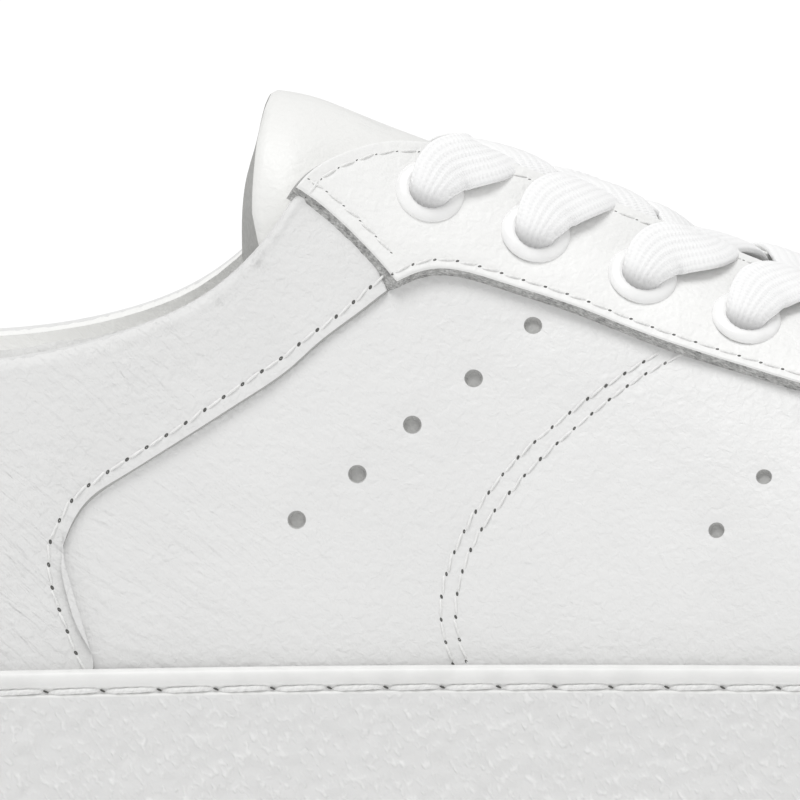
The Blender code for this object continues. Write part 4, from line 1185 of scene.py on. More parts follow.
def lace_finish():
    """Flat woven lace, from its own coordinates: mm across it and along it. Shade is painted on it where it
    comes up out of the eyelet."""
    finish, tree, shader = new_finish("lace_weave", (0.90, 0.90, 0.90), 0.75, 0.2)
    across, along, _ = node(tree, "SeparateXYZ", [node(tree, "UVMap", {}, uv_map="lace")["UV"]])
    rib = maths(tree, "FRACT", maths(tree, "MULTIPLY", across, 1 / LACE_RIB))
    slope = maths(tree, "ABSOLUTE", maths(tree, "SUBTRACT", rib, 0.5))
    stitch = maths(tree, "MULTIPLY", along, 1 / LACE_STITCH)
    phase = maths(tree, "ADD", stitch, maths(tree, "MULTIPLY", slope, 0.7))
    wave = maths(tree, "SINE", maths(tree, "MULTIPLY", phase, 2 * math.pi))
    ridge = maths(tree, "SUBTRACT", 1.0, maths(tree, "MULTIPLY", slope, 2.0))
    height = maths(tree, "ADD", maths(tree, "MULTIPLY", wave, 0.22), ridge)
    height = maths(tree, "ADD", height, maths(tree, "MULTIPLY", noise(tree, spot_of(tree), 0.3, 2.0), 0.5))
    bump(tree, shader, height, 0.09)
    stops = ((0.0, (0.80, 0.80, 0.805)), (0.45, (0.90, 0.90, 0.90)), (1.0, (0.93, 0.93, 0.93)))
    shade = maths(tree, "MULTIPLY", maths(tree, "ADD", height, 0.35), 0.55, True)
    # Painted shade: the lace is darkened towards its hidden end, inside the eyelet.
    out = spread(tree, along, *LACE_EYELET_SHADE)
    eyelet_shade = colours(tree, out, ((0.0, (0.3, 0.3, 0.3)), (1.0, (1.0, 1.0, 1.0))))
    mixed = node(tree, "VectorMath", [colours(tree, shade, stops), eyelet_shade], operation="MULTIPLY")
    tree.links.new(mixed["Vector"], shader.inputs["Base Color"])
    return finish


def plain_finish(name, tone, roughness, depth=0.02, size=0.5, specular=0.3):
    """A quiet surface with only fine unevenness."""
    finish, tree, shader = new_finish(name, tone, roughness, specular)
    field = noise(tree, spot_of(tree), size, 3.0)
    bump(tree, shader, field, depth)
    paint(tree, shader, field, ((0.3, shaded(tone, 0.93)), (0.6, tone)))
    return finish


def cloth_finish():
    """The footbed's woven cover."""
    finish, tree, shader = new_finish("footbed_weave", (0.74, 0.74, 0.72), 0.9, 0.1)
    split = node(tree, "SeparateXYZ", [spot_of(tree)])
    per_mm = 2 * math.pi / FOOTBED_THREAD
    warp, weft = (maths(tree, "SINE", maths(tree, "MULTIPLY", split[k], per_mm)) for k in (0, 1))
    weave = maths(tree, "MULTIPLY", warp, weft)
    bump(tree, shader, weave, 0.08)
    stops = ((0.0, (0.66, 0.66, 0.64)), (1.0, (0.77, 0.77, 0.75)))
    shade = maths(tree, "ADD", maths(tree, "MULTIPLY", weave, 0.5), 0.5)
    paint(tree, shader, shade, stops)
    return finish


# ---------------------------------------------------------------- lines on the leather
def outer_and_inner(points):
    return [side_curve(points, side) for side in ("outer", "inner")]


def both_sides(lines):
    return [curve for line in lines for curve in outer_and_inner(line)]


def eyestay_outline():
    """Throat edge and lower edge of the eyestay, each from its outer back corner to its inner one."""
    lower, lower_inner = outer_and_inner(EYESTAY_LOWER)
    s, y = np.array(EYESTAY_FRONT).T
    turn = turn_at(s + 40)
    turn = np.where(y < 0, turn, 2 * math.pi - turn)
    front = locate(s, y, 1, turn, np.full(len(s), 0.8))
    bottom = np.concatenate([lower, front, lower_inner[::-1]])
    corner = EYESTAY_CORNER[0]
    turns = np.linspace(corner, 2 * math.pi - corner, 60)
    from_corner = np.minimum(turns - corner, turns[::-1] - corner)
    top = np.stack([turns, 1 + CORNER_LIFT * np.exp(-((from_corner / CORNER_LIFT_REACH) ** 2))], axis=1)
    return top, bottom


def panel_edges():
    """Front edge of the heel panel from the eyestay down, outer side, and the same inner side with
    its turns below zero."""
    outer, inner = outer_and_inner(PANEL_EDGE)
    inner[:, 0] -= 2 * math.pi
    return outer, inner


def edge_shares(length, cell):
    """Shares of a length: close steps at both ends for a rounded edge, even cells between."""
    rim = np.array(EDGE_STEPS)
    middle = np.linspace(rim[-1], length - rim[-1], max(2, int(round((length - 2 * rim[-1]) / cell))))
    return np.concatenate([rim[:-1], middle, (length - rim[:-1])[::-1]]) / length


def rounded(distance, radius):
    """How far an edge rounded to that radius has dropped, at a distance from it."""
    inside = np.clip(radius - distance, 0, radius)
    return radius - np.sqrt(radius**2 - inside**2)


# ---------------------------------------------------------------- upper
def upper_grid(columns, rows, low):
    """Turns and heights of a grid over the whole upper, from z = low up to the topline."""
    turns = np.arange(columns) * 2 * math.pi / columns
    floor = height_at(turns, low + ground(s_at(turns)))
    share = np.linspace(0, 1, rows)[:, None]
    heights = floor[None] * (1 - share) + share
    return np.broadcast_to(turns, heights.shape), heights


def make_upper_leather(leather, edge, vent):
    turn, height = upper_grid(UPPER_COLUMNS, UPPER_ROWS, LEATHER_FOOT)
    face = upper_point(turn, height)
    relief = strokes_relief(face, QUARTER_CREASES) + uneven(face, QUARTER_WAVES)
    for curve in both_sides(VENT_ROWS):
        relief -= drawn_in(face, upper_point(curve[:, 0], curve[:, 1]), VENT_DENT)
    relief -= seam_dents(face, both_sides(DOUBLE_SEAM), QUARTER_DENT)
    face = face + upper_normal(turn, height) * relief[..., None]
    rows = list(face)
    turn, height = upper_grid(UPPER_COLUMNS, UPPER_BACK_ROWS, LEATHER_FOOT)
    back = upper_offset(turn, height, -LEATHER_THICKNESS)
    rows += list(back[::-1])
    faces = ring_faces(len(rows), UPPER_COLUMNS, wrap=True)
    piece = new_piece("upper_leather", np.concatenate(rows), faces, [leather], "leather")
    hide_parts("upper")
    cut(piece, eyelet_holes(), edge)
    cut(piece, vent_holes(), vent)
    sharpen(piece.data, SHARP)
    return piece


def make_lining(lining, edge):
    turn, height = upper_grid(LINING_COLUMNS, LINING_ROWS, LINING_FOOT)
    face = upper_point(turn, height)
    depth = wall_thickness(turn, height) - LINING_SHORT
    inner = face - upper_normal(turn, height) * (depth + uneven(face, LINING_WAVES))[..., None]
    near = upper_offset(turn, height, -LEATHER_THICKNESS - LINING_GAP)
    rows = [*inner, *near[::-4]]
    faces = ring_faces(len(rows), LINING_COLUMNS, wrap=True)
    piece = new_piece("upper_lining", np.concatenate(rows), faces, [lining], "lining")
    cut(piece, eyelet_holes(), edge)


@functools.lru_cache(maxsize=None)
def eyelet_frames(lift):
    """Centre, lift mm over the leather's face, and outward direction of each eyelet."""
    frames = {}
    s = column(EYELET_ROWS, EYELET_COLUMNS, "s")
    for side in ("outer", "inner"):
        z = column(EYELET_ROWS, EYELET_COLUMNS, "z_" + side)
        for number, (turn, height) in enumerate(side_curve(list(zip(s, z)), side), start=1):
            frames[side, number] = (upper_offset(turn, height, lift), upper_normal(turn, height))
    return frames


def eyelet_holes():
    """The eyelets' holes, as parts to cut."""
    profile = [(EYELET_HOLE_RADIUS, rise) for rise in EYELET_HOLE_REACH]
    return [turned(profile, *frame, HOLE_SIDES, False) for frame in eyelet_frames(EYESTAY_FACE).values()]


def vent_holes():
    """The vent holes, as blind parts to cut."""
    parts = []
    for points, radius in zip(VENT_ROWS, VENT_RADII):
        profile = [(radius * share + more, rise) for share, more, rise in VENT_PROFILE]
        for turn, height in np.concatenate(outer_and_inner(points)):
            centre, out = upper_point(turn, height), upper_normal(turn, height)
            parts.append(turned(profile, centre, out, VENT_SIDES, False))
    return parts


# ---------------------------------------------------------------- heel panel and collar
def make_heel_panel(leather, edge):
    outer, inner = panel_edges()
    turns = np.linspace(inner[-1][0], outer[-1][0], 60)
    foot = height_at(turns, PANEL_FOOT + ground(s_at(turns)))
    bottom = np.concatenate([inner, np.stack([turns, foot], axis=1)[2:-2], outer[::-1]])
    corner = EYESTAY_CORNER[0] + PANEL_UNDER_EYESTAY
    top_turns = np.linspace(-corner, corner, 120)
    top = np.stack([top_turns, lowered(top_turns, 1.0, ROLL_DROP)], axis=1)
    width = 2 * PANEL_HALF_RUN
    across = edge_shares(width, PANEL_CELL)
    top, bottom = at_shares(top, across), at_shares(bottom, across)
    rim = np.array(EDGE_STEPS) / PANEL_HEIGHT
    up = np.concatenate([rim[:-1], np.linspace(rim[-1], 1, PANEL_ROWS)])
    share = up[:, None, None]
    grid = bottom[None] * (1 - share) + top[None] * share
    turn, height = grid[..., 0], grid[..., 1]
    face = upper_offset(turn, height, PANEL_FACE)
    face = np.concatenate([face, collar_roll(turn[-1], height[-1])])
    relief = panel_relief(face)
    normal = grid_normals(face)
    normal *= np.sign(dots(normal[PANEL_ROW], face[PANEL_ROW] - np.array(PANEL_CENTRE)).sum())
    from_edge = np.minimum(across, 1 - across)[None] * width
    drop = rounded(from_edge, PANEL_EDGE_RADIUS)
    back = face - normal * PANEL_THICKNESS
    face = face + normal * (relief - drop)[..., None]
    bend = np.hypot(face[0, :, 0] - PANEL_BEND[0], face[0, :, 2] - PANEL_BEND[1]) / PANEL_BEND_REACH
    lean = PANEL_LEAN + PANEL_BEND_LEAN * np.exp(-(bend**2))
    back[0] += unit(face[0] - face[1]) * lean[:, None]
    sheet = sheet_piece("heel_panel_leather", [face, back], [leather, edge], "leather", SHEET_SHARP)
    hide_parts("heel_panel")
    return sheet


def lowered(turns, height, drop):
    """Heights on the upper that lie drop mm lower, near the topline."""
    strip = upper_point(turns, 1.0) - upper_point(turns, 1.0 - TOP_STRIP)
    return height - drop / np.linalg.norm(strip, axis=1) * TOP_STRIP


def collar_roll(turns, start):
    """Rows over the padded collar, from the outer face over the topline and down inside."""
    top = upper_point(turns, 1.0)
    foot = upper_offset(turns, start, PANEL_FACE)
    inside = upper_offset(turns, start, -wall_thickness(turns, 1.0) - ROLL_GAP)
    middle, half = (foot + inside) / 2, (foot - inside) / 2
    rise = np.zeros_like(middle)
    rise[:, 2] = top[:, 2] + ROLL_RISE - middle[:, 2]
    rows = []
    for angle in np.linspace(0, math.pi, ROLL_ROWS)[1:]:
        rows.append(middle + half * math.cos(angle) + rise * math.sin(angle) ** ROLL_FULLNESS)
    for drop in ROLL_INSIDE:
        lower = lowered(turns, start, drop)
        rows.append(upper_offset(turns, lower, -wall_thickness(turns, lower) - ROLL_INSIDE_GAP))
    return np.array(rows)


def panel_relief(face):
    creases = strokes_relief(face, HEEL_CREASES) + strokes_relief(face, collar_pinches())
    return uneven(face, PANEL_WAVES) + creases - seam_dents(face, outer_and_inner(PANEL_SEAM), PANEL_DENT)


def collar_pinches():
    """Short folds across the collar's rim, where the leather is drawn over the foam."""
    random = np.random.default_rng(PINCH_SEED)
    strokes = []
    rim_s, rim_z = np.array(COLLAR_RIM).T
    s = rim_s[0]
    while s < rim_s[-1]:
        z = np.interp(s, rim_s, rim_z)
        slope = np.interp(s + 1, rim_s, rim_z) - z
        length = random.uniform(*PINCH_LENGTH) * (PINCH_SHORTER[1] if s < PINCH_SHORTER[0] else 1.0)
        lean = random.uniform(*PINCH_LEAN)
        across = np.array([slope + lean, -1.0])
        across /= np.linalg.norm(across)
        start = np.array([s, z]) - across * PINCH_OVER
        bend = start + across * length * 0.5 + np.array([PINCH_BEND, 0.0]) * random.uniform(-1, 1)
        depth = random.uniform(*PINCH_DEPTH)
        strokes.append((-depth, random.uniform(*PINCH_WIDTH), (start, bend, start + across * length)))
        s += random.uniform(*PINCH_STEP)
    return strokes


# ---------------------------------------------------------------- eyestay
def make_eyestay(leather, edge):
    top, bottom = eyestay_outline()
    along = edge_shares(EYESTAY_RUN, EYESTAY_CELL)
    top, bottom = at_shares(top, along), shifted(at_shares(bottom, along), -EDGE_DROP)
    across = edge_shares(EYESTAY_WIDTH, EYESTAY_CELL)
    share = across[:, None, None]
    grid = top[None] * (1 - share) + bottom[None] * share
    turn, height = grid[..., 0], grid[..., 1]
    base = upper_point(turn, height)
    normal = upper_normal(turn, height)
    wide = np.linalg.norm(base[0] - base[-1], axis=1)[None]
    from_top, from_bottom = across[:, None] * wide, (1 - across[:, None]) * wide
    from_back = np.minimum(along, 1 - along)[None] * EYESTAY_RUN
    drop = rounded(np.minimum(np.minimum(from_top, from_bottom), from_back), EYESTAY_EDGE_RADIUS)
    eyes = [centre for centre, _ in eyelet_frames(0.0).values()]
    relief = uneven(base, EYESTAY_WAVES) - seam_dents(base, eyestay_seams(), EYESTAY_DENT)
    relief -= drawn_in(base, eyes, EYELET_DENT)
    face = base + normal * (EYESTAY_FACE + relief - drop)[..., None]
    # The cut edge leans outwards: its foot lies beyond the face's border.
    out = np.zeros_like(base)
    out[-1] = unit(base[-1] - base[-2]) * EDGE_LEAN
    out[0] = unit(base[0] - base[1]) * EDGE_LEAN_THROAT
    for end, beside in ((0, 1), (-1, -2)):
        lean_back = unit(base[:, end] - base[:, beside]) * EDGE_LEAN_BACK
        out[:, end] = out[:, end] * EDGE_CORNER_SHARE + lean_back
    ragged = uneven(base, EDGE_RAGGED)[..., None] * normal
    depth, size, seed = EDGE_ROUGH
    layers = [face]
    for part in EDGE_LAYERS:
        level = (EYESTAY_FACE - EYESTAY_EDGE_RADIUS) * (1 - part)
        rough = wander(base, size, seed + int(part * 10))[..., None] * unit(out + 1e-9) * depth
        layers.append(base + normal * level + out * part + rough + ragged)
    layers += [base + out, base - normal * EDGE_UNDER + out * 0.5]
    piece = sheet_piece("eyestay_leather", layers, [leather, edge], "leather", EYESTAY_SHARP)
    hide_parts("eyestay")
    cut(piece, eyelet_holes(), edge)
    sharpen(piece.data, EYESTAY_SHARP)
    return piece


def eyestay_seams():
    """Stitch lines inside the throat edge, both back edges and the lower edge."""
    top, bottom = eyestay_outline()
    top, bottom = at_shares(top, np.linspace(0, 1, 150)), at_shares(bottom, np.linspace(0, 1, 150))
    sign = 1 if shifted(bottom, 1.0)[75, 1] > bottom[75, 1] else -1
    lower = shifted(bottom, sign * LOWER_SEAM_INSET)
    throat = shifted(top, -sign * SEAM_INSET)
    seams = [lower, throat]
    for end in (0, -1):
        share = np.linspace(0.0, 1.0, 30)[:, None]
        back = top[end] * (1 - share) + bottom[end] * share
        moved = [shifted(back, BACK_SEAM_INSET), shifted(back, -BACK_SEAM_INSET)]
        closer = min(moved, key=lambda line: abs(line[15, 0] - math.pi))
        seams.append(closer[2:-3])
    return seams


# ---------------------------------------------------------------- stitches
def surface_of(piece):
    """A search tree of a piece's finished surface."""
    corners = np.array([tuple(corner.co) for corner in piece.data.vertices])
    return BVHTree.FromPolygons(corners.tolist(), [tuple(face.vertices) for face in piece.data.polygons])


def drop_on(tree, points, ups):
    """The points moved along ups onto the finished surface."""
    starts = place(points + ups * DROP_REACH)
    landed = []
    for start, up, point in zip(starts, ups, points):
        hit = tree.ray_cast(Vector(start), Vector(-up), 2 * DROP_REACH * MM)[0]
        landed.append(point if hit is None else np.array(hit) / MM + frame_origin())
    return np.array(landed)


def thread_mesh(rings, sides, section):
    """A thread along x; section gives, at x from -1 to 1 and an angle, its point's (x, y, z)."""
    angles = [2 * math.pi * i / sides for i in range(sides)]
    points = [section(x, angle) for x in np.linspace(-1, 1, rings) for angle in angles]
    return np.array(points), tube_faces(rings, sides)


def stitch_mesh():
    """One stitch along x: a thin rounded thread that dives at both ends."""
    def section(x, angle):
        girth = STITCH_RADIUS * math.sqrt(max(0.05, 1 - abs(x) ** 4))
        lift = STITCH_RADIUS * (0.5 - 1.2 * abs(x) ** 3)
        return x * STITCH_LENGTH / 2, girth * math.cos(angle), lift + 0.8 * girth * math.sin(angle)
    return thread_mesh(11, 8, section)


def pit_mesh(length, width):
    """A needle hole: a shallow dish, longer along x, that takes a dark finish as painted shade."""
    profile = ((1.0, -0.04), (0.85, 0.03), (0.45, 0.02), (0.12, 0.0))
    points, faces = turned(profile, np.zeros(3), (0, 0, 1), 12, False)
    return points * np.array([length / 2, width / 2, 1.0]), faces


def seam_frames(curve, tree, phase, swing, seed):
    """Frames along a curve on the leather, one for each stitch; swing turns each by some degrees."""
    random = np.random.default_rng(seed)
    dense = stepped(curve, STITCH_PITCH / STITCH_STEPS)
    picked = slice(int(phase * STITCH_STEPS), None, STITCH_STEPS)
    ahead = np.gradient(upper_point(dense[:, 0], dense[:, 1]), axis=0)[picked]
    spots = dense[picked]
    up = upper_normal(spots[:, 0], spots[:, 1])
    along = unit(ahead - up * dots(up, ahead)[:, None])
    across = np.cross(up, along)
    angle = np.radians(swing + random.uniform(-STITCH_SWAY, STITCH_SWAY, len(spots)))[:, None]
    tilted = along * np.cos(angle) + across * np.sin(angle)
    centre = drop_on(tree, upper_point(spots[:, 0], spots[:, 1]), up)
    return list(zip(centre, tilted, np.cross(up, tilted), up))


def strewn_piece(name, template, frames, finish):
    """Copies of a small mesh as one piece: thread, or dark dishes of painted shade at needle holes."""
    new_piece(name, *strew(template, frames), [finish], "thread", sharp=None)


def make_seam(name, lines, piece, thread, hole, seed):
    """Stitches along some lines of a piece, and dark dishes of painted shade at their needle holes, each as
    one mesh.
    """
    tree = surface_of(piece)
    stitches, pits = [], []
    for number, curve in enumerate(lines, start=seed):
        stitches += seam_frames(curve, tree, 0.5, STITCH_SWING, number)
        pits += seam_frames(curve, tree, 0.0, HOLE_SWING, number)
    strewn_piece(name + "_stitches", stitch_mesh(), stitches, thread)
    strewn_piece(name + "_needle_holes", pit_mesh(*NEEDLE_HOLES[name]), pits, hole)


def make_seams(quarters, panel, stay, thread, hole):
    make_seam("heel_panel", outer_and_inner(PANEL_SEAM), panel, thread, hole, seed=50)
    make_seam("quarter", both_sides(DOUBLE_SEAM), quarters, thread, hole, seed=60)
    lower, *others = eyestay_seams()
    make_seam("eyestay_lower", [lower], stay, thread, hole, seed=70)
    make_seam("eyestay_throat", others, stay, thread, hole, seed=80)


# ---------------------------------------------------------------- tongue
def through(points, count):
    """count points evenly along a smooth curve through the given ones."""
    points = np.asarray(points, float)
    run = length_run(points)
    return on_curve(run, points, np.linspace(0, run[-1], count))


def throat_centre(s):
    """Middle of the throat, across the shoe."""
    names = ("s_top", "y_outer", "y_inner")
    s_top, outer, inner = (column(STATION_ROWS, STATION_COLUMNS, name) for name in names)
    throat = s_top > THROAT_START
    return float(np.interp(s, s_top[throat], ((outer + inner) / 2)[throat]))


def tongue_face(columns, rows):
    """Outer face of the tongue as a grid: rows from the free end to the toe, columns across."""
    end = [(s, -y, z) for s, y, z in TONGUE_END[:-1]]
    sections = [end + [TONGUE_END[-1]] + [(s, -y, z) for s, y, z in end[::-1]]]
    for s_foot, edge, s_crest, z_crest in TONGUE_ROWS:
        turn = float(turn_at(s_foot))
        heights = edge - np.array(TONGUE_SHARES)
        outer = upper_offset(turn, heights, -TONGUE_DEPTH)
        inner = upper_offset(2 * math.pi - turn, heights, -TONGUE_DEPTH)[::-1]
        crest = [(s_crest, throat_centre(s_crest), z_crest)]
        sections.append(np.concatenate([outer, crest, inner]))
    sections = np.stack([through(section, columns) for section in sections])
    return np.stack([through(sections[:, k], rows) for k in range(columns)], axis=1)


def make_tongue(leather, felt):
    face = tongue_face(TONGUE_ACROSS, TONGUE_ALONG)
    normal = grid_normals(face, upward=True)
    run = length_run(face[:, TONGUE_ACROSS // 2])
    thick = np.interp(run, (0, run[-1]), (TONGUE_TIP_THICKNESS, TONGUE_THICKNESS))[:, None, None]
    under = face - normal * thick
    # The white face stops short of the felt's cut end, more so down the sides.
    along = unit(face[1] - face[0])
    short = (face[0, :, 0] - under[0, :, 0]) / along[:, 0]
    side = np.abs(np.linspace(-1, 1, TONGUE_ACROSS))
    slant = np.interp(side, TONGUE_SLANT_AT, TONGUE_SLANT)[:, None]
    reach = np.exp(-run / TONGUE_SLANT_REACH)[:, None, None]
    under = under + along[None] * short[None, :, None] * reach
    top = face + along[None] * slant[None] * reach
    round_off = rounded(run[:, None], TONGUE_EDGE_RADIUS)
    top = top + normal * (uneven(face, TONGUE_WAVES) - round_off)[..., None]
    layers = [top * (1 - part) + under * part for part in (0, 0.25, 0.5, 0.75, 1)]
    piece = sheet_piece("tongue_pad", layers, [leather, felt], "leather", SHEET_SHARP)
    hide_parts("tongue")


# ---------------------------------------------------------------- eyelets
def make_eyelets(lacquer):
    frames = eyelet_frames(EYESTAY_FACE - EYELET_SINK).values()
    parts = [turned(EYELET_PROFILE, *frame, EYELET_SIDES, True) for frame in frames]
    piece = new_piece("eyelet_rings", *joined(parts), [lacquer], "eyelet", sharp=EYELET_SHARP)
    names = ["eyelet_%s_%d" % (side, n) for side in ("lateral", "medial") for n in range(1, 7)]
    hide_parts(*names)


# ---------------------------------------------------------------- laces
def over_tongue(s, y, lift):
    """A point that far over the tongue's crowned face."""
    crest_s = np.append(TONGUE_END[-1][0], column(TONGUE_ROWS, TONGUE_COLUMNS, "s_crest"))
    crest_z = np.append(TONGUE_END[-1][2], column(TONGUE_ROWS, TONGUE_COLUMNS, "z_crest"))
    return np.array([s, y, np.interp(s, crest_s, crest_z) - TONGUE_CROWN * y * y + lift])


def from_eyelet(number, side):
    """Centre, outward, along the throat, and up towards it, at an eyelet."""
    frames = eyelet_frames(EYESTAY_FACE)
    centre, out = frames[side, number]
    before, after = frames[side, max(1, number - 1)][0], frames[side, min(LAST_EYELET, number + 1)][0]
    along = unit(after - before)
    along = unit(along - out * np.dot(along, out))
    up = np.cross(out, along)
    if up[1] * centre[1] > 0:
        up = -up
    return centre, out, along, up


def leaving(number, side):
    """Points, facings and widths of a lace as it comes out of an eyelet and over the throat's edge."""
    centre, out, along, up = from_eyelet(number, side)
    lead = LACE_LEADS.get((number, side), 1.0)
    points, faces, widths = [], [], []
    for rise, climb, ahead, lean, width, further in LACE_LEAVING:
        climb += further * LACE_FURTHER[number - 1]
        points.append(centre + out * rise + up * climb + along * ahead * lead)
        faces.append(unit(out * math.sin(math.radians(lean)) - up * math.cos(math.radians(lean))))
        widths.append(width)
    return points, faces, widths


def strand(number, side, lift, shift):
    """A strand from its eyelet across the tongue and under the other edge of the throat."""
    points, faces, widths = leaving(number, side)
    sign = -1 if side == "outer" else 1
    s = points[0][0] + shift
    for ahead, y, share, rise, tip, width in LACE_CROSSING:
        points.append(over_tongue(s + ahead, -sign * y, lift * share + rise))
        faces.append(unit(unit(np.array(LACE_SKYWARD)) + np.array([0.0, -sign * tip, 0.0])))
        widths.append(width)
    return points, faces, widths


def bar():
    """The straight bar at the toe end, from one last eyelet to the other."""
    outer, inner = (leaving(LAST_EYELET, side) for side in ("outer", "inner"))
    top = over_tongue(outer[0][-1][0] + LACE_BAR_AHEAD, 0.0, LACE_BAR_LIFT)
    middle = ([top], [unit(np.array(LACE_SKYWARD))], [LACE_BAR_WIDTH])
    return [first + between + last[::-1] for first, between, last in zip(outer, middle, inner)]


def lace_mesh(points, faces, widths):
    """A flat ribbed lace along its points: its mesh, and each point's mm across and along it."""
    points, faces = np.array(points), np.array(faces)
    run = length_run(points)
    steps = int(run[-1] / LACE_CELL)
    at = np.linspace(0, run[-1], steps)
    path = on_curve(run, points, at)
    facing = np.stack([np.interp(at, run, faces[:, k]) for k in range(3)], axis=1)
    width = np.interp(at, run, widths)
    ahead = unit(np.gradient(path, axis=0))
    facing = unit(facing - ahead * dots(facing, ahead)[:, None])
    aside = np.cross(ahead, facing)
    angle = 2 * math.pi * np.arange(LACE_SIDES) / LACE_SIDES
    x, y = np.cos(angle), np.sin(angle)
    flat_x, flat_y = (np.sign(k) * np.abs(k) ** power for k, power in zip((x, y), LACE_SQUARENESS))
    ridge = np.abs(np.cos(flat_x * math.pi * LACE_RIBS / 2)) - 0.5
    ribs = 1 + LACE_RIB_DEPTH * ridge * (np.abs(y) > 0.2)
    bow = np.interp(width, LACE_SQUEEZE, LACE_BOW)[:, None] * (1 - flat_x**2)[None]
    thick = np.interp(width, LACE_SQUEEZE, LACE_FATTER)[:, None]
    side = (flat_x[None] * width[:, None] / 2)[..., None] * aside[:, None]
    rise = (flat_y * ribs)[None] * LACE_THICKNESS / 2 * thick + bow
    grid = path[:, None] + side + rise[..., None] * facing[:, None]
    across = np.broadcast_to(flat_x * LACE_WIDTH / 2, (steps, LACE_SIDES))
    length = np.broadcast_to(at[:, None], (steps, LACE_SIDES))
    where = np.stack([across, length], axis=-1).reshape(-1, 2)
    return grid.reshape(-1, 3), tube_faces(steps, LACE_SIDES), where


def make_laces(weave):
    runs = []
    for number, (outer, inner, shift) in enumerate(LACE_STRANDS, start=1):
        runs += [strand(number, "outer", outer, 0.0), strand(number, "inner", inner, shift)]
    meshes = [lace_mesh(*run) for run in runs + [bar()]]
    points, faces = joined([mesh[:2] for mesh in meshes])
    piece = new_piece("lace_strands", points, faces, [weave], "lace", sharp=None)
    layer = piece.data.uv_layers.new(name="lace")
    corners = np.zeros(len(piece.data.loops), np.int32)
    piece.data.loops.foreach_get("vertex_index", corners)
    where = np.concatenate([mesh[2] for mesh in meshes])
    layer.data.foreach_set("uv", where[corners].astype(np.float32).ravel())
    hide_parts(*["lace_cross_%d" % n for n in range(1, 6)], "lace_bar")


# ---------------------------------------------------------------- sole
def sole_turns(count):
    """Turns evenly spaced along the outline, in partners across the foot."""
    fine = np.linspace(0, math.pi, 4001)
    outer, inner = length_run(plan(fine)), length_run(plan(2 * math.pi - fine))
    half = np.linspace(0, 1, count // 2 + 1)
    first = np.interp(half * outer[-1], outer, fine)
    second = np.interp(half * inner[-1], inner, fine)
    return np.concatenate([first, (2 * math.pi - second)[1:-1][::-1]])


def cup_ring(turns, inset, z):
    """A ring round the sole, that far inside its outline and that high over its underside."""
    flat = outline(turns, inset)
    return np.concatenate([flat, (z + ground(s_at(turns)))[:, None]], axis=1)


def cup_inside(turns, z):
    """A ring of the cup's inner face, close round the upper."""
    level = z + ground(s_at(turns))
    points = upper_offset(turns, height_at(turns, level), CUP_GAP)
    points[:, 2] = level
    return points


def pebbles(points):
    """The moulded texture: soft irregular lumps, from about -1 to 1."""
    field = mathutils_noise.noise
    spots = [Vector(point) for point in points]
    return np.array([field(spot / PEBBLE_SIZE) + 0.5 * field(spot / FINER_PEBBLE_SIZE) for spot in spots])


def tread_pocket(s_back):
    """A chevron-shaped prism that cuts one channel between two lugs."""
    corners = []
    for s_edge in (s_back, s_back + POCKET_LENGTH):
        row = []
        for share in (-1, 0, 1):
            s = s_edge + CHEVRON * (1 - abs(share))
            turn = float(turn_at(s))
            ends = [float(outline(np.array(side), TREAD_RIM)[1]) for side in (turn, 2 * math.pi - turn)]
            row.append((s, sum(ends) / 2 + share * (ends[1] - ends[0]) / 2))
        corners += row if not corners else row[::-1]
    roof = POCKET_DEPTH + float(ground(s_back + POCKET_LENGTH / 2))
    points = np.array([(s, y, z) for z in (POCKET_FLOOR, roof) for s, y in corners])
    return points, tube_faces(2, len(corners))


def make_sole(wall_rubber, lip_rubber, tread_rubber):
    turns = sole_turns(SOLE_COLUMNS)
    rows = [cup_ring(turns, inset, z) for inset, z in SOLE_FOOT_PROFILE]
    out = np.concatenate([outward(turns), np.zeros((len(turns), 1))], axis=1)
    for z in np.linspace(WALL_FOOT, WALL_TOP, SOLE_WALL_ROWS):
        ring = cup_ring(turns, WALL_INSET, z)
        fade = min(1.0, (WALL_TOP - z) / PEBBLE_FADE) * min(1.0, (z - WALL_FOOT) / PEBBLE_FADE)
        rows.append(ring + out * (PEBBLE_DEPTH * fade * pebbles(ring))[:, None])
    rows += [cup_ring(turns, inset, z) for inset, z in LIP_PROFILE]
    last, inner = rows[-1], cup_inside(turns, CUP_TOP)
    for share, rise in LIP_CROWN:
        between = last * (1 - share) + inner * share
        between[:, 2] += rise
        rows.append(between)
    rows += [inner] + [cup_inside(turns, z) for z in CUP_LEVELS]
    count = len(turns)
    sides = ring_faces(len(rows), count).tolist()
    caps = cap_faces(0, count) + cap_faces((len(rows) - 1) * count, count)
    faces = sides + caps
    wall = (len(SOLE_FOOT_PROFILE) + SOLE_WALL_ROWS - 1) * count
    finish_of = np.repeat([0, 1, 2], [wall, len(sides) - wall, len(caps)])
    finishes = [wall_rubber, lip_rubber, tread_rubber]
    piece = new_piece("sole_rubber", np.concatenate(rows), faces, finishes, "sole_rubber", finish_of)
    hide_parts("cupsole")
    starts = [a + TREAD_PITCH * n for a, b in TREAD_ZONES for n in range(int((b - a) / TREAD_PITCH))]
    cut(piece, [tread_pocket(s) for s in starts], tread_rubber)
    sharpen(piece.data, SHARP)


def groove_frame(turn, lean, proud):
    """A frame in the sidewall's groove, leaning by some degrees and standing proud by some mm."""
    out = np.append(outward(turn), 0.0)
    centre = np.append(outline(turn, GROOVE_INSET), GROOVE_Z + float(ground(s_at(turn))))
    along = np.array([-out[1], out[0], 0.0])
    tilted = along * math.cos(math.radians(lean)) + np.array([0, 0, math.sin(math.radians(lean))])
    return centre + out * proud, tilted, np.cross(out, tilted), out


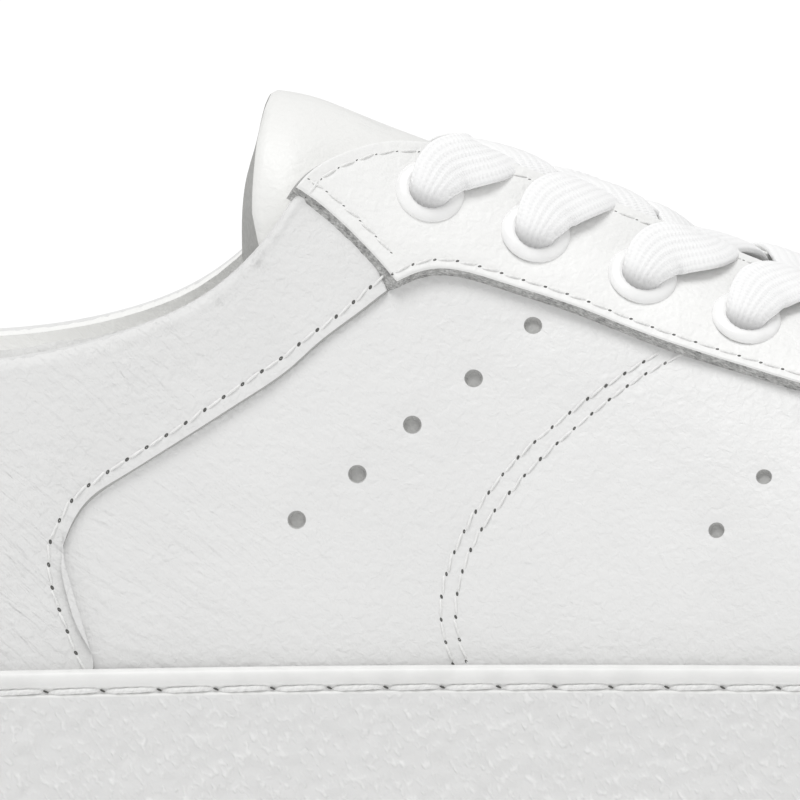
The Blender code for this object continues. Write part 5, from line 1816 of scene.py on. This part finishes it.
def make_groove_cord(thread, hole):
    """The sidewall stitching: a twisted cord lying in the groove, tucked in at each stitch."""
    fine = np.linspace(0, 2 * math.pi, 8001)
    run = length_run(plan(fine))
    count = int(round(run[-1] / GROOVE_PITCH))
    pitch = run[-1] / count
    phase = float(np.interp(turn_at(GROOVE_START), fine, run)) % pitch
    tucks = (phase + pitch * np.arange(count)) % run[-1]
    middles = np.interp((tucks + pitch / 2) % run[-1], run, fine)
    cords = [groove_frame(turn, CORD_LEAN, 0.0) for turn in middles]
    pits = [groove_frame(turn, TUCK_LEAN, TUCK_PROUD) for turn in np.interp(tucks, run, fine)]
    strewn_piece("sole_stitches", cord_mesh(pitch * CORD_SHARE), cords, thread)
    # Dark dishes of painted shade where the cord tucks into the groove.
    strewn_piece("sole_needle_holes", pit_mesh(*NEEDLE_HOLES["sole"]), pits, hole)


def cord_mesh(length):
    """A long stitch of twisted cord along x."""
    def section(x, angle):
        twist = 1 + CORD_PLY_DEPTH * math.cos(CORD_PLIES * angle + x * length * CORD_TWIST)
        girth = CORD_RADIUS * math.sqrt(max(0.02, 1 - abs(x) ** 6)) * twist
        return x * length / 2, girth * math.cos(angle), girth * math.sin(angle) - CORD_DIVE * abs(x) ** 5
    return thread_mesh(40, 10, section)


def make_insole(cloth):
    turns = sole_turns(INSOLE_COLUMNS)
    top = FEATHER_Z + INSOLE_THICKNESS
    edge = ((0.4, FEATHER_Z), (0.0, FEATHER_Z + 0.8), (0.0, top - 0.8), (0.3, top - 0.2), (0.9, top))
    dish = ((4.0, top - 0.15), (9.0, top - 0.5), (15.0, top - 0.7))
    rings = [cup_ring(turns, INSOLE_INSET + side, z) for side, z in edge + dish]
    faces = ring_faces(len(rings), len(turns)).tolist()
    faces += cap_faces(0, len(turns)) + cap_faces((len(rings) - 1) * len(turns), len(turns))
    piece = new_piece("insole_cloth", np.concatenate(rings), faces, [cloth], "footbed")
    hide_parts("insole")


# ---------------------------------------------------------------- stage
def make_floor():
    """A wide floor, nearly white."""
    mesh = bpy.data.meshes.new("floor")
    half = FLOOR_SIZE / 2
    corners = [(-half, -half, 0.0), (half, -half, 0.0), (half, half, 0.0), (-half, half, 0.0)]
    mesh.from_pydata(corners, [], [(0, 1, 2, 3)])
    finish, tree, shader = new_finish("pale_floor", FLOOR_TONE, 0.9, 0.0)
    grain = noise(tree, spot_of(tree), 400.0, 2.0)
    paint(tree, shader, grain, ((0.3, shaded(FLOOR_TONE, 0.99)), (0.7, FLOOR_TONE)))
    mesh.materials.append(finish)
    add("floor", mesh)


def make_light():
    """Light from all round, and a soft one from above, a little to the front."""
    lamp = bpy.data.lights.new("softbox", "SUN")
    lamp.energy = SUN_STRENGTH
    lamp.angle = math.radians(SUN_SOFTNESS)
    add("softbox", lamp).rotation_euler = Vector(SUN_FROM).to_track_quat("Z", "Y").to_euler()
    world = bpy.data.worlds.new("studio")
    world.use_nodes = True
    sky = world.node_tree.nodes["Background"]
    sky.inputs["Color"].default_value = (1.0, 1.0, 1.0, 1.0)
    sky.inputs["Strength"].default_value = SKY_STRENGTH
    bpy.context.scene.world = world
    bpy.context.scene.view_settings.view_transform = "Standard"


def make_fill():
    """A small light under the near rim, aimed at the far side of the collar. It stands for the light
    that the shoe's white inside throws about."""
    lamp = bpy.data.lights.new("collar_fill", "AREA")
    lamp.size = FILL_SIZE
    lamp.energy = FILL_WATTS
    thing = add("collar_fill", lamp)
    thing.location = place(FILL_SPOT)[0]
    way = Vector(FILL_TARGET) - Vector(FILL_SPOT)
    thing.rotation_euler = way.to_track_quat("-Z", "Y").to_euler()
    thing.visible_camera = False


def make_camera():
    """A long lens, a little above the shoe's outer side and rolled slightly."""
    tilt, roll = math.radians(CAMERA_ELEVATION), math.radians(CAMERA_ROLL)
    forward = np.array([0.0, math.cos(tilt), -math.sin(tilt)])
    level, rise = np.array([1.0, 0.0, 0.0]), np.array([0.0, math.sin(tilt), math.cos(tilt)])
    right = level * math.cos(roll) + rise * math.sin(roll)
    up = -level * math.sin(roll) + rise * math.cos(roll)
    spot = place(np.array(CAMERA_TARGET) - forward * CAMERA_DISTANCE)[0]
    lens = bpy.data.cameras.new("camera")
    lens.sensor_width = SENSOR_WIDTH
    lens.lens = SENSOR_WIDTH * CAMERA_DISTANCE / VIEW_WIDTH
    camera = add("camera", lens)
    turn = Matrix(np.stack([right, up, -forward], axis=1).tolist())
    camera.matrix_world = Matrix.Translation(spot) @ turn.to_4x4()
    bpy.context.scene.camera = camera


# ---------------------------------------------------------------- the scene
def main():
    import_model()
    make_camera()
    make_light()
    make_fill()
    make_floor()
    edge = raw_edge_finish()
    vent = plain_finish("vent_inside", (0.52, 0.52, 0.51), 0.9, depth=0.1, size=0.4, specular=0.1)
    leather = leather_finish("quarter_leather", LEATHER_TONE, 1.0, QUARTER_ZONES, 32.0)
    quarters = make_upper_leather(leather, edge, vent)
    make_lining(lining_finish(), edge)
    panel_edge = plain_finish("panel_cut_edge", (0.45, 0.45, 0.44), 0.85, depth=0.1, size=0.4, specular=0.1)
    # Its darker tone is painted shade.
    heel = leather_finish("heel_leather", HEEL_SHADED_TONE, 1.2, HEEL_ZONES, 40.0, specular=0.12)
    panel = make_heel_panel(heel, panel_edge)
    stay = make_eyestay(leather_finish("eyestay_leather", EYESTAY_TONE, 0.8, EYESTAY_ZONES, 30.0), edge)
    thread = thread_finish("white_thread", (0.85, 0.85, 0.84))
    # Dark grey finish that paints the shade in the needle holes and the cord's tucks.
    hole = plain_finish("needle_hole_shade", (0.11, 0.11, 0.105), 0.9)
    make_seams(quarters, panel, stay, thread, hole)
    make_tongue(leather_finish("tongue_leather", TONGUE_TONE, 0.6, TONGUE_ZONES, 20.0), felt_finish())
    lacquer = plain_finish("white_lacquer", (0.91, 0.91, 0.905), 0.25, depth=0.002, size=3.0, specular=0.5)
    make_eyelets(lacquer)
    make_laces(lace_finish())
    wall = rubber_finish("textured_rubber", SOLE_TONE, 0.12)
    lip = plain_finish("smooth_rubber", (0.80, 0.80, 0.79), 0.4, depth=0.01, size=4.0)
    make_sole(wall, lip, plain_finish("tread_rubber", SOLE_TONE, 0.6, depth=0.03, size=0.4))
    make_groove_cord(thread_finish("sole_thread", (0.84, 0.84, 0.83)), hole)
    make_insole(cloth_finish())


main()
